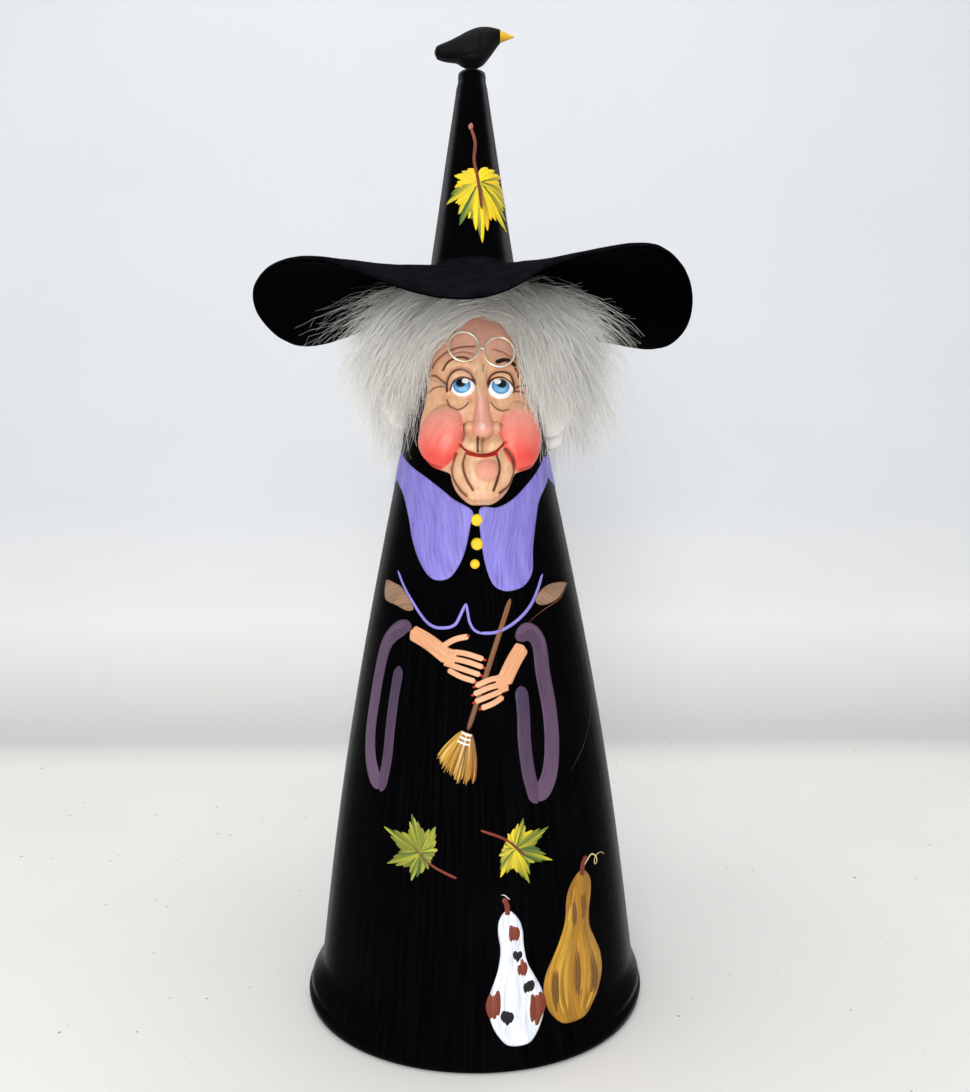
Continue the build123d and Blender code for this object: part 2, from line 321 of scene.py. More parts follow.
def blackCanvas(name, weave):
    # matt black brush paint over canvas; the weave follows the piece's own unrolled map
    material, shader, place = newMaterial(name)
    cloth = addNode(material.node_tree, "ShaderNodeUVMap", uv_map="cloth").outputs[0]
    streak = noiseOf(cloth, 900.0, 4, 0.6, (1, 0.02, 1))
    patch = noiseOf(place, 30.0, 3)
    tone = mixColour(rangeOf(streak, 0.42, 0.72), (0, 0, 1), (8, 7, 9))
    tone = mixColour(rangeOf(patch, 0.5, 0.8, 0, 0.35), tone, (12, 11, 12))
    threads = 2 * math.pi / (weave * metre)
    across, along = (calc("SINE", times(parted(cloth)[side], threads)) for side in (0, 1))
    filled = timesPlus(streak, 1.4, times(times(across, along), 0.35))
    give(shader, {"Base Color": tone, "Roughness": rangeOf(streak, 0.3, 0.7, 0.7, 0.9), "Specular IOR Level": 0.02,
                  "Sheen Weight": 0.3, "Sheen Roughness": 0.17, "Normal": bumpOf(filled, 0.00016, 0.55)})
    return material


# the gown: hem, skirt and crown are one canvas-covered cone
gown = {
    "foot": 63.4, "tip": 4.6, "belly": 1.8, "waist": 2.2,   # the cone's side
    "crown": 1.0,               # the crown is padded out this much above the brim
    "hemHeight": 14.0, "hemReach": 65.4, "hemUnder": 1.4, "hemLeft": 1.6,
    "unevenness": 0.35,
    "tipRoll": 0.35,            # groove under the rolled edge of the tip
    "thread": 0.55,
    "around": 280, "rings": 300,
    "fineHeight": 30.0, "fineRings": 61,      # closer rings at the foot
    "flare": 1.4,                             # the hem's slope ends at this many times its height
    "mapRadius": 0.045,                       # metres per radian of turn in the cloth's map
}


def gownRadius(z):
    t = np.asarray(z, float) / coneTop
    straight = gown["foot"] + (gown["tip"] - gown["foot"]) * t
    crown = gown["crown"] * smoothStep(0.74, 0.81, t) * (1 - 0.3 * smoothStep(0.9, 1.0, t))
    return straight + gown["belly"] * np.sin(np.pi * t) + gown["waist"] * np.sin(2 * np.pi * t) + crown


def radiusAt(z):
    return float(gownRadius(z))


def hemRadius(z, azimuth):
    # side of the foot: a folded band at the floor, then a slope back to the cone
    high = gown["hemHeight"] + 2.0 * np.maximum(0, -np.sin(azimuth)) ** 2
    full = gown["hemReach"] + gown["hemLeft"] * np.maximum(0, -np.sin(azimuth)) ** 2 - 0.3 * np.cos(3 * azimuth + 0.6)
    t = np.clip(z / high, 0, 1.6)
    under = full - gown["hemUnder"] * (1 - np.minimum(t / 0.25, 1)) ** 2
    slope = smoothStep(0.3, 1.1, t) ** 0.85
    fold = 0.75 * np.exp(-((t - 0.42) / 0.09) ** 2) * (0.45 + 0.55 * np.abs(np.sin(azimuth)))
    return under + (gownRadius(z) - full) * slope - fold


def wobble(azimuth, z, amount, seed):
    # slow hand-made unevenness that closes on itself at the seam
    total = np.zeros(np.broadcast(azimuth, z).shape)
    chance = random.Random(seed)
    for order in (2, 3, 4, 5, 7):
        for stretch in (0.012, 0.03):
            phase = chance.uniform(0, 6.28)
            rise = chance.uniform(-stretch, stretch)
            total = total + np.sin(order * azimuth + phase + rise * z) / order
    return total * amount


def makeGown(material):
    around, rings = gown["around"], gown["rings"]
    azimuth = np.linspace(-math.pi, math.pi, around + 1)
    low = np.linspace(0, gown["fineHeight"], gown["fineRings"])
    high = np.linspace(gown["fineHeight"], coneTop, rings - gown["fineRings"] + 1)[1:]
    heights = np.concatenate([low, high])
    points = []
    for z in heights:
        if z < gown["hemHeight"] * gown["flare"]:
            radius = hemRadius(np.full(around, z), azimuth[:-1])
        else:
            radius = np.full(around, radiusAt(z))
        damp = min(1.0, (coneTop - z) / 40) * (1 if z > 1 else 0.4)
        radius = radius - gown["tipRoll"] * math.exp(-((coneTop - z - 3.4) / 1.0) ** 2)
        radius = radius + wobble(azimuth[:-1], z, gown["unevenness"] * damp, 3)
        for out, angle in zip(radius, azimuth):
            points.append((out * math.sin(angle) * metre, -out * math.cos(angle) * metre, z * metre))
    faces = ringFaces(len(heights), around)
    # the two ends are closed round a middle point
    topRing = (len(heights) - 1) * around
    foot, tip = len(points), len(points) + 1
    points += [(0, 0, 0.0), (0, 0, coneTop * metre)]
    for i in range(around):
        j = (i + 1) % around
        faces += [(j, i, foot), (topRing + i, topRing + j, tip)]
    made = makeObject("gownSkin", points, faces, material)
    layer = made.data.uv_layers.new(name="cloth")
    for polygon in made.data.polygons:
        loops = list(polygon.loop_indices)
        spots = [made.data.vertices[made.data.loops[i].vertex_index].co for i in loops]
        angles = [math.atan2(spot.x, -spot.y) for spot in spots]
        wraps = max(angles) - min(angles) > math.pi
        for i, angle, spot in zip(loops, angles, spots):
            if wraps and angle < 0:
                angle += 2 * math.pi
            layer.data[i].uv = (angle * gown["mapRadius"], spot.z)
    return made


canvasBlack = blackCanvas("blackCanvas", gown["thread"])
gownSkin = makeGown(canvasBlack)
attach(gownSkin, "figure")
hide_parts("gown_cover", "foot_roll")
gownTree = treeOf(gownSkin)
print("gown is made")


def newTree(name, inputs, takesMesh=True):
    # a tree with named inputs, given as name: (socket kind, value)
    tree = bpy.data.node_groups.new(name, "GeometryNodeTree")
    face = tree.interface
    face.new_socket("Geometry", in_out="OUTPUT", socket_type="NodeSocketGeometry")
    if takesMesh:
        face.new_socket("Geometry", in_out="INPUT", socket_type="NodeSocketGeometry")
    sockets = {}
    for label, (kind, value) in inputs.items():
        made = face.new_socket(label, in_out="INPUT", socket_type="NodeSocket" + kind)
        if kind not in ("Object", "Material"):
            made.default_value = value
        sockets[label] = made.identifier
    return tree, tree.nodes.new("NodeGroupInput"), tree.nodes.new("NodeGroupOutput"), sockets


def named(tree, label, kind="FLOAT"):
    return addNode(tree, "GeometryNodeInputNamedAttribute", {"Name": label}, data_type=kind).outputs[0]


def fieldOf(tree, kind, output=0):
    return tree.nodes.new("GeometryNode" + kind).outputs[output]


def store(geometry, label, value, kind="FLOAT", domain="POINT"):
    made = addNode(geometry.id_data, "GeometryNodeStoreNamedAttribute", {"Name": label}, data_type=kind,
                   domain=domain)
    return give(made, {"Geometry": geometry, "Value": value}).outputs[0]


def finishTree(tree, geometry, material, out):
    smooth = addNode(tree, "GeometryNodeSetShadeSmooth", {0: geometry})
    real = addNode(tree, "GeometryNodeRealizeInstances", {0: smooth.outputs[0]})
    last = addNode(tree, "GeometryNodeSetMaterial", {0: real.outputs[0], "Material": material})
    give(out, {0: last.outputs[0]})


def growWith(made, tree, sockets, values):
    # runs the tree on the object and leaves a plain mesh
    modifier = made.modifiers.new("nodes", "NODES")
    modifier.node_group = tree
    for label, value in values.items():
        modifier[sockets[label]] = value
    settle(made)
    return made


def smoothLine(points, steps, closed=False):
    # a flowing line through every point
    pts = [np.array(p, float) for p in points]
    if closed:
        pts = [pts[-1]] + pts + pts[:2]
    else:
        pts = [2 * pts[0] - pts[1]] + pts + [2 * pts[-1] - pts[-2]]
    line = []
    for i in range(1, len(pts) - 2):
        a, b, c, d = pts[i - 1:i + 3]
        for step in range(steps):
            t = step / steps
            line.append(0.5 * (2 * b + (c - a) * t + (2 * a - 5 * b + 4 * c - d) * t ** 2
                               + (3 * b - a - 3 * c + d) * t ** 3))
    if not closed:
        line.append(pts[-2])
    return np.array(line)


def distanceTo(x, z, line):
    nearest = np.full(x.shape, 1e9)
    for (ax, az), (bx, bz) in zip(line[:-1], line[1:]):
        dx, dz = bx - ax, bz - az
        t = np.clip(((x - ax) * dx + (z - az) * dz) / max(dx * dx + dz * dz, 1e-9), 0, 1)
        nearest = np.minimum(nearest, np.hypot(x - ax - t * dx, z - az - t * dz))
    return nearest


def isInside(x, z, line):
    inside = np.zeros(x.shape, bool)
    for (ax, az), (bx, bz) in zip(line, np.roll(line, -1, axis=0)):
        crosses = (az > z) != (bz > z)
        inside ^= crosses & (x < (bx - ax) * (z - az) / (bz - az + 1e-12) + ax)
    return inside


face = {
    "step": 0.22,                     # how fine it is modelled
    "edge": [(191.4, -1.4, 4.6), (192.6, -3.6, 7.2), (194.6, -5.8, 9.6), (197, -7.6, 11.4), (200, -8.8, 12.8),
             (203, -9.6, 14.2), (204.4, -12.6, 17.6), (205.6, -15.6, 20.2), (208, -18.2, 21.9), (212, -20.1, 23.2),
             (218, -21.1, 23.7), (224, -20.6, 23.2), (229, -19.2, 21.9), (235, -18.2, 20.9), (244, -17.6, 20.4),
             (252, -16.8, 19.7), (258, -15.2, 18.0), (263, -11.8, 14.4), (266.4, -6.0, 8.8), (268, -1.6, 4.4)],
    "maskThickness": 1.7,
    "backMiddle": (1.4, 228.0), "backRings": (0.97, 0.78, 0.55, 0.3, 0.1), "backDepth": -0.3,
    "rimDepth": -0.15,
    "shift": 1.0,                     # towards the viewer's right
    "cheekHeight": 5.7,
    "fallAway": 7,                    # how steeply a lump ends outside its oval
    "jaw": (1.2, 3.4, (2.1, 203.0), (11.6, 13.0)),
    "cheeks": (((-12.4, 216.6), (7.8, 12.5), -13), ((15.3, 217.0), (7.4, 13.5), 4)),   # middle, half size, tilt
    # rise over the brows and fall at the eyes: height, middle, half size
    "browsAndSockets": ((0.9, (-6.2, 244.0), (6.4, 3.2)), (0.9, (10.6, 243.6), (6.0, 3.2)),
                        (-0.9, (-4.7, 235.4), (5.6, 4.6)), (-0.9, (8.7, 235.0), (5.6, 4.6))),
    # the ridge of the nose from tip to brow: height up, share of its rise, half width
    "nose": ((213.6, 0.0, 1.0), (214.3, 0.52, 2.2), (215.4, 0.8, 3.1), (217.0, 0.96, 3.7), (219.0, 1.0, 3.9),
             (222.0, 0.85, 3.1), (226.0, 0.66, 2.5), (231.0, 0.5, 2.2), (236.0, 0.36, 2.0), (240.0, 0.26, 2.1),
             (244.0, 0.16, 2.4), (248.0, 0.07, 2.6)),
    "noseMiddle": 2.0,
    "noseHeight": 8.6,
    "noseDroop": 0.3,
    "lineWidth": 0.34,
    "skin": (230, 178, 138), "skinShade": (198, 138, 100), "forehead": (238, 180, 160),
    "cheek": (238, 100, 84), "cheekLight": (244, 162, 145), "pink": (242, 164, 146),
    "lineBrown": (84, 38, 20), "lip": (164, 18, 12), "iris": (92, 164, 220), "irisEdge": (38, 92, 158),
    "cream": (240, 200, 154), "white": (250, 250, 248), "shine": (253, 226, 216), "hairline": (204, 134, 120),
    "noseHighlight": (250, 206, 190), "chinPink": (232, 148, 128), "underNose": (150, 96, 66), "nostril": (74, 40, 26),
    "hollow": (112, 92, 66), "coral": (226, 52, 44), "glue": (238, 226, 196), "eyeShade": (196, 204, 212),
    "irisLight": (150, 205, 240), "pupil": (8, 8, 12), "browDark": (38, 16, 10), "greyHair": (160, 150, 138),
    "lipBright": (196, 26, 18), "lipDark": (92, 8, 8),
    # lumps of clay: foot, rise, middle, half size and the fillet round them
    "eyeballs": ((0.7, 2.1, (-4.6, 235.0), (4.9, 4.4), 0.5), (0.7, 2.1, (8.6, 234.8), (4.9, 4.4), 0.5)),
    "muzzle": ((2.4, 2.6, (-1.6, 212.9), (3.7, 4.4), 0.4), (2.4, 2.6, (6.0, 213.1), (3.6, 4.6), 0.4),
               (3.9, 1.5, (1.6, 203.2), (5.4, 7.0), 0.5), (4.6, 2.4, (3.2, 203.2), (3.8, 4.2), 0.7)),
    "noseWings": ((1.6, 3.8, (-2.3, 219.6), (2.5, 2.6), 0.6), (1.6, 3.8, (6.5, 219.4), (2.5, 2.6), 0.6)),
    "glueRun": ((0.4, 244.6), (0.9, 240.5), (0.5, 236.0), (0.9, 231.5)),
    "looseHair": ((-15.6, 238.6), (-12.6, 237.2), (-10.9, 235.6)),
    # pale cream patches, painted highlights on the raised places round the eyes, on the nose and the folds: middle
    # and half size
    "creamHighlights": (((-5.6, 239.8), (3.6, 1.2)), ((9.9, 239.4), (3.4, 1.1)), ((-6.4, 228.9), (4.0, 1.4)),
                     ((10.4, 228.6), (4.2, 1.5)), ((2.2, 241.0), (2.2, 5.0)), ((-1.6, 212.9), (2.6, 3.0)),
                     ((6.2, 213.0), (2.5, 3.0)), ((-6.2, 203.0), (1.3, 5.4)), ((9.8, 204.0), (1.7, 5.4)),
                     ((-1.6, 201.5), (1.4, 4.4)), ((3.0, 196.6), (3.4, 1.8)), ((-8.4, 243.4), (3.0, 1.0))),
    # eyeball middle and half size, then the middles of iris, pupil and highlight
    "eyes": (((-4.5, 234.9), (4.1, 3.5), (-4.8, 235.5), (-5.1, 236.4), (-3.6, 237.2)),
             ((8.5, 234.5), (4.2, 3.8), (8.3, 235.3), (8.6, 236.3), (7.3, 237.1))),
}


def oval(x, z, middle, half, tilt=0.0):
    turn = math.radians(tilt)
    dx, dz = x - middle[0], z - middle[1]
    across = dx * math.cos(turn) + dz * math.sin(turn)
    along = -dx * math.sin(turn) + dz * math.cos(turn)
    return (across / half[0]) ** 2 + (along / half[1]) ** 2


def dome(x, z, middle, half, power):
    return np.clip(1 - oval(x, z, middle, half), 0, None) ** power


def lumpOn(x, z, base, rise, middle, half, tilt=0.0):
    # a lump with its foot at base, falling away outside its oval
    ring = oval(x, z, middle, half, tilt)
    return base + rise * np.clip(1 - ring, 0, None) ** 0.5 - face["fallAway"] * np.clip(np.sqrt(ring) - 1, 0, None)


def soften(first, second, reach):
    # the higher of two forms, joined by a fillet
    share = np.clip(reach - np.abs(first - second), 0, None) / reach
    return np.maximum(first, second) + share * share * reach / 4


def addLumps(x, z, high, lumps):
    for base, rise, middle, half, fillet in lumps:
        high = soften(high, lumpOn(x, z, base, rise, middle, half), fillet)
    return high


def soft(distance, width):
    return np.exp(-(distance / width) ** 2)


def glow(x, z, middle, half):
    return soft(np.sqrt(oval(x, z, middle, half)), 1)


def stroke(distance, width):
    return 1 - smoothStep(width - 0.13, width + 0.13, distance)


# lines of the face, across and up
faceLines = {
    "leftLid": [(-10.0, 233.6), (-10.0, 237.0), (-8.4, 240.2), (-5.4, 241.5), (-2.2, 240.2), (-0.4, 237.2)],
    "rightLid": [(4.0, 236.0), (4.9, 238.9), (6.6, 240.3), (9.0, 240.8), (11.6, 240.1), (13.0, 237.4), (13.3, 234.6)],
    "leftEyeTop": [(-8.9, 234.2), (-7.7, 237.0), (-5.2, 238.8), (-2.2, 238.0), (-0.2, 236.2)],
    "rightEyeTop": [(4.2, 235.0), (5.2, 237.6), (7.9, 239.0), (10.8, 238.4), (12.8, 235.6), (13.3, 233.6)],
    "leftBag": [(-10.2, 230.6), (-8.8, 227.6), (-6.2, 226.6), (-4.0, 227.6), (-2.6, 229.2)],
    "rightBag": [(5.2, 229.4), (6.4, 227.6), (8.2, 226.4), (10.6, 226.2)],
    "leftBrow": [(-11.4, 241.8), (-9.2, 244.8), (-6.0, 246.2), (-3.4, 245.9), (-1.9, 244.6)],
    "rightBrow": [(7.4, 244.6), (9.6, 245.5), (11.6, 245.3), (13.0, 244.0)],
    "rightBrowEnd": [(13.4, 242.6), (14.4, 241.4), (15.0, 239.8)],
    "leftFeetOne": [(-17.0, 233.6), (-15.2, 235.2), (-12.8, 235.9), (-10.4, 235.5)],
    "leftFeetTwo": [(-16.8, 239.8), (-14.6, 240.2), (-12.6, 238.6), (-10.4, 236.4)],
    "rightFeetOne": [(13.4, 235.2), (16.2, 236.5), (19.8, 237.6)],
    "rightFeetTwo": [(13.6, 234.2), (16.8, 234.0), (19.6, 232.6)],
    "leftWrinkle": [(-16.0, 242.6), (-13.6, 246.2), (-9.8, 249.0), (-5.4, 250.4), (-0.6, 250.6)],
    "leftWrinkleTwo": [(-8.8, 247.6), (-4.6, 248.6), (-1.0, 247.8)],
    "rightWrinkle": [(6.4, 249.6), (9.2, 248.9), (11.6, 247.4), (14.8, 246.2)],
    "frown": [(2.6, 243.4), (2.3, 240.4)],
    "mouth": [(-5.4, 213.2), (-3.9, 211.2), (-1.7, 209.7), (1.9, 208.8), (5.4, 209.7), (7.6, 211.6), (9.4, 213.9)],
    "philtrum": [(0.4, 215.4), (0.5, 210.2)],
    "innerLeft": [(-3.5, 209.8), (-4.4, 205.6), (-3.4, 200.8), (-1.2, 196.4)],
    "innerRight": [(6.3, 209.8), (7.5, 205.3), (6.8, 200.4), (5.6, 196.2)],
    "outerLeft": [(-6.8, 210.0), (-8.3, 205.4), (-8.0, 201.2), (-5.6, 196.8), (-3.4, 194.4)],
    "outerRight": [(9.7, 211.6), (12.3, 207.2), (13.0, 203.0), (11.4, 198.6), (7.8, 195.4)],
    "leftNostril": [(-3.9, 220.2), (-4.3, 217.6), (-4.6, 214.6)],
    "rightNostril": [(7.9, 220.0), (8.5, 217.0), (9.0, 214.8)],
}
faceLines = {label: smoothLine(points, 6) for label, points in faceLines.items()}

# lines cut into the clay: depth and width
faceGrooves = (
    ("innerLeft", 0.7, 0.42), ("innerRight", 0.7, 0.42), ("outerLeft", 0.9, 0.5), ("outerRight", 0.9, 0.5),
    ("philtrum", 0.6, 0.4), ("leftFeetOne", 0.3, 0.35), ("leftFeetTwo", 0.3, 0.4), ("rightFeetOne", 0.3, 0.35),
    ("rightFeetTwo", 0.3, 0.35), ("leftWrinkle", 0.35, 0.45), ("leftWrinkleTwo", 0.3, 0.4),
    ("rightWrinkle", 0.3, 0.4), ("mouth", 1, 0.5),
)
# washes of brown in the hollows: width and strength
faceWashes = (
    ("leftLid", 1.5, 0.35), ("rightLid", 1.5, 0.35), ("leftWrinkle", 1.3, 0.45), ("leftFeetTwo", 1.3, 0.4),
    ("rightFeetOne", 1.2, 0.4), ("outerLeft", 1.2, 0.55), ("outerRight", 1.2, 0.55), ("innerLeft", 1, 0.45),
    ("innerRight", 1, 0.45), ("leftBag", 1, 0.35), ("rightBag", 1, 0.35), ("rightWrinkle", 1.3, 0.4),
    ("leftWrinkleTwo", 1, 0.3),
)
# brown lines: share of the line width, and strength
faceInk = (
    ("leftLid", 1.2, 1), ("rightLid", 1.2, 1), ("leftEyeTop", 1.1, 1), ("rightEyeTop", 1.1, 1),
    ("leftBrow", 1.25, 0.95), ("rightBrowEnd", 1.3, 0.9), ("leftBag", 0.9, 0.8), ("rightBag", 0.9, 0.8),
    ("leftFeetOne", 1, 0.75), ("leftFeetTwo", 1.2, 0.8), ("rightFeetOne", 1, 0.8), ("rightFeetTwo", 1, 0.85),
    ("leftWrinkle", 1.1, 0.75), ("leftWrinkleTwo", 0.9, 0.5), ("rightWrinkle", 0.9, 0.55),
    ("philtrum", 1.1, 0.95), ("innerLeft", 1.1, 0.85), ("innerRight", 1.3, 0.95), ("outerLeft", 1.2, 0.8),
    ("outerRight", 1.3, 0.9), ("frown", 1, 0.45),
)


def faceRelief(x, z, edgeDistance):
    # height of the clay over the gown, in millimetres
    far = {label: distanceTo(x, z, line) for label, line in faceLines.items()}
    rim = np.clip(edgeDistance / 2.4, 0, 1)
    high = face["maskThickness"] * np.sqrt(1 - (1 - rim) ** 2)
    for rise, middle, half in face["browsAndSockets"]:
        high = high + rise * glow(x, z, middle, half) * rim
    high = addLumps(x, z, high, face["eyeballs"])
    for label in ("leftLid", "rightLid"):
        high = high + 0.55 * soft(far[label] - 0.35, 0.6)
    for label in ("leftBag", "rightBag"):
        high = high + 0.5 * soft(far[label], 1.3) - 0.45 * soft(far[label], 0.35)
    for middle, half, tilt in face["cheeks"]:
        cheek = lumpOn(x, z, 0.6, face["cheekHeight"], middle, (half[0] + 0.1, half[1] + 0.1), tilt)
        high = soften(high, cheek * np.minimum(rim * 2.2, 1), 0.5)
    jaw = lumpOn(x, z, *face["jaw"])
    high = soften(high, jaw * np.minimum(rim * 1.6, 1), 1.2)
    high = addLumps(x, z, high, face["muzzle"])
    keys, shares, widths = (np.array(column) for column in zip(*face["nose"]))
    ridge = np.interp(z, keys, shares * face["noseHeight"])
    width = np.interp(z, keys, widths)
    aside = np.abs(x - face["noseMiddle"]) / width
    side = np.clip(1 - ((x - face["noseMiddle"]) / width) ** 2, 0, None) ** 0.5
    high = soften(high, 0.8 + ridge * side - face["fallAway"] * np.clip(aside - 1, 0, None), 0.9)
    high = addLumps(x, z, high, face["noseWings"])
    for label, depth, width in faceGrooves:
        high = high - depth * soft(far[label], width) * np.minimum(rim * 1.5, 1)
    lowerLip = distanceTo(x, z, faceLines["mouth"][8:-8] - np.array([0, 1.15]))
    high = high + 0.6 * soft(lowerLip, 0.8)
    hand = np.sin(0.9 * x + 0.5 * z) * np.sin(0.7 * z - 0.3 * x) + 0.6 * np.sin(1.9 * x - 1.1 * z)
    return high + 0.05 * hand * rim, far


def facePaint(x, z, far):
    paint = np.broadcast_to(toneOf(face, "skin")[:3], x.shape + (3,)).copy()

    def blend(first, second, share):
        share = share[..., None]
        return toneOf(face, first)[:3] * (1 - share) + toneOf(face, second)[:3] * share

    def lay(tone, share):
        share = np.clip(share, 0, 1)[..., None]
        colour = tone if isinstance(tone, np.ndarray) else toneOf(face, tone)[:3]
        paint[:] = paint * (1 - share) + colour * share

    # painted highlights in cream on the raised places
    for middle, half in face["creamHighlights"]:
        lay("cream", 0.75 * dome(x, z, middle, (half[0] * 1.4, half[1] * 1.4), 1.0))
    streak = 0.5 + 0.5 * np.sin(2.1 * x + 0.8 * np.sin(0.9 * z)) * np.sin(0.45 * z + 1.3 * np.sin(0.7 * x))
    lay("skinShade", 0.34 * streak)
    # painted light: the forehead is painted pinker and lighter than the skin, to make up for the brim's shadow on it
    lay("forehead", 0.85 * smoothStep(243, 250, z + 0.8 * np.sin(0.8 * x)))
    lay("hairline", 0.6 * glow(x, z, (6.0, 261.5), (7.5, 3.6)))
    for label, width, share in faceWashes:
        lay("skinShade", share * soft(far[label], width))
    nose = np.maximum(dome(x, z, (2.0, 226.0), (2.7, 12.0), 0.6), dome(x, z, (2.0, 218.6), (4.1, 5.2), 0.5))
    lay("pink", 0.85 * nose * smoothStep(236, 226, z) * smoothStep(213.6, 216, z))
    # painted highlight along the ridge of the nose
    lay("noseHighlight", 0.6 * dome(x, z, (1.3, 226.5), (0.9, 8.5), 1.0))
    # painted highlights on the tip of the nose and on the chin
    lay("shine", 0.75 * dome(x, z, (1.5, 219.6), (1.2, 1.5), 1.0))
    lay("shine", 0.75 * dome(x, z, (2.6, 204.9), (0.9, 0.8), 1.0))
    lay("chinPink", 0.9 * dome(x, z, (3.2, 203.2), (3.9, 4.3), 0.6))
    # the shade under the nose
    lay("underNose", 0.5 * glow(x, z, (2.3, 214.6), (6.4, 1.7)))
    for label in ("leftNostril", "rightNostril"):
        lay("nostril", 0.8 * soft(far[label], 0.75))
    lay("hollow", 0.75 * soft(distanceTo(x, z, ((1.9, 214.6), (1.9, 209.9))), 0.55))
    # cheeks: strong coral at the foot, paler and pinker above
    for middle, half, tilt in face["cheeks"]:
        ring = oval(x, z, middle, half, tilt)
        inside = 1 - smoothStep(0.93, 1.03, ring)
        upper = smoothStep(middle[1] - 9, middle[1] + 11, z + 0.7 * np.sin(1.3 * x))
        inside = inside * (1 - 0.9 * smoothStep(middle[1] + 6.5, middle[1] + 11.0, z))
        lay(blend("cheek", "cheekLight", upper), inside)
        lay("coral", 0.55 * inside * glow(x, z, (middle[0], middle[1] - 8.5), (6.5, 3.4)))
    # a dried run of glue from the spectacles' bridge
    lay("glue", 0.55 * stroke(distanceTo(x, z, smoothLine(face["glueRun"], 6)), 0.22))
    # eyes
    for middle, half, iris, pupil, shine in face["eyes"]:
        eyeball = 1 - smoothStep(0.92, 1.04, oval(x, z, middle, half))
        lay("white", eyeball)
        lay("eyeShade", 0.5 * eyeball * smoothStep(middle[1] + 0.6, middle[1] + 3.4, z))
        ring = oval(x, z, iris, (3.0, 3.0))
        irisShare = (1 - smoothStep(0.92, 1.06, ring)) * eyeball
        lay(blend("iris", "irisEdge", smoothStep(0.45, 1.0, ring)), irisShare)
        lay("irisLight", irisShare * 0.7 * glow(x, z, (iris[0] + 0.5, iris[1] - 1.5), (1.7, 0.8)))
        lay("pupil", (1 - smoothStep(0.85, 1.12, oval(x, z, pupil, (1.7, 1.75)))) * eyeball)
        lay("white", 1 - smoothStep(0.8, 1.15, oval(x, z, shine, (1.15, 1.1))))
    for label, width, share in faceInk:
        lay("lineBrown", share * stroke(far[label], face["lineWidth"] * width))
    lay("browDark", stroke(distanceTo(x, z, faceLines["rightBrow"]), 0.85))
    lay("greyHair", 0.7 * stroke(distanceTo(x, z, face["looseHair"]), 0.4))
    # mouth: a dark line with a bright lower lip
    mouth = faceLines["mouth"]
    lay("lip", stroke(far["mouth"], 0.28 + 0.4 * np.clip(1 - np.abs(x - 2) / 7.5, 0, 1)))
    lay("lipBright", stroke(distanceTo(x, z, mouth[10:-10] - np.array([0, 0.55])), 0.7))
    lay("lipDark", 0.8 * stroke(distanceTo(x, z, mouth + np.array([0, 0.3])), 0.2))
    return paint


def facePoint(x, z, high):
    # a place on the gown's side, raised by the clay's height and let droop at the nose
    radius = gownRadius(z)
    azimuth = np.arcsin(np.clip((x + face["shift"]) / radius, -0.98, 0.98))
    lean = (gownRadius(z + 0.5) - gownRadius(z - 0.5))
    out = radius + high / np.sqrt(1 + lean ** 2)
    droop = face["noseDroop"] * np.clip(high - 4.4, 0, None) * soft(np.abs(x - 2), 5) * smoothStep(212, 216, z)
    up = z - lean * high / np.sqrt(1 + lean ** 2) - droop
    return out * np.sin(azimuth), -out * np.cos(azimuth), up


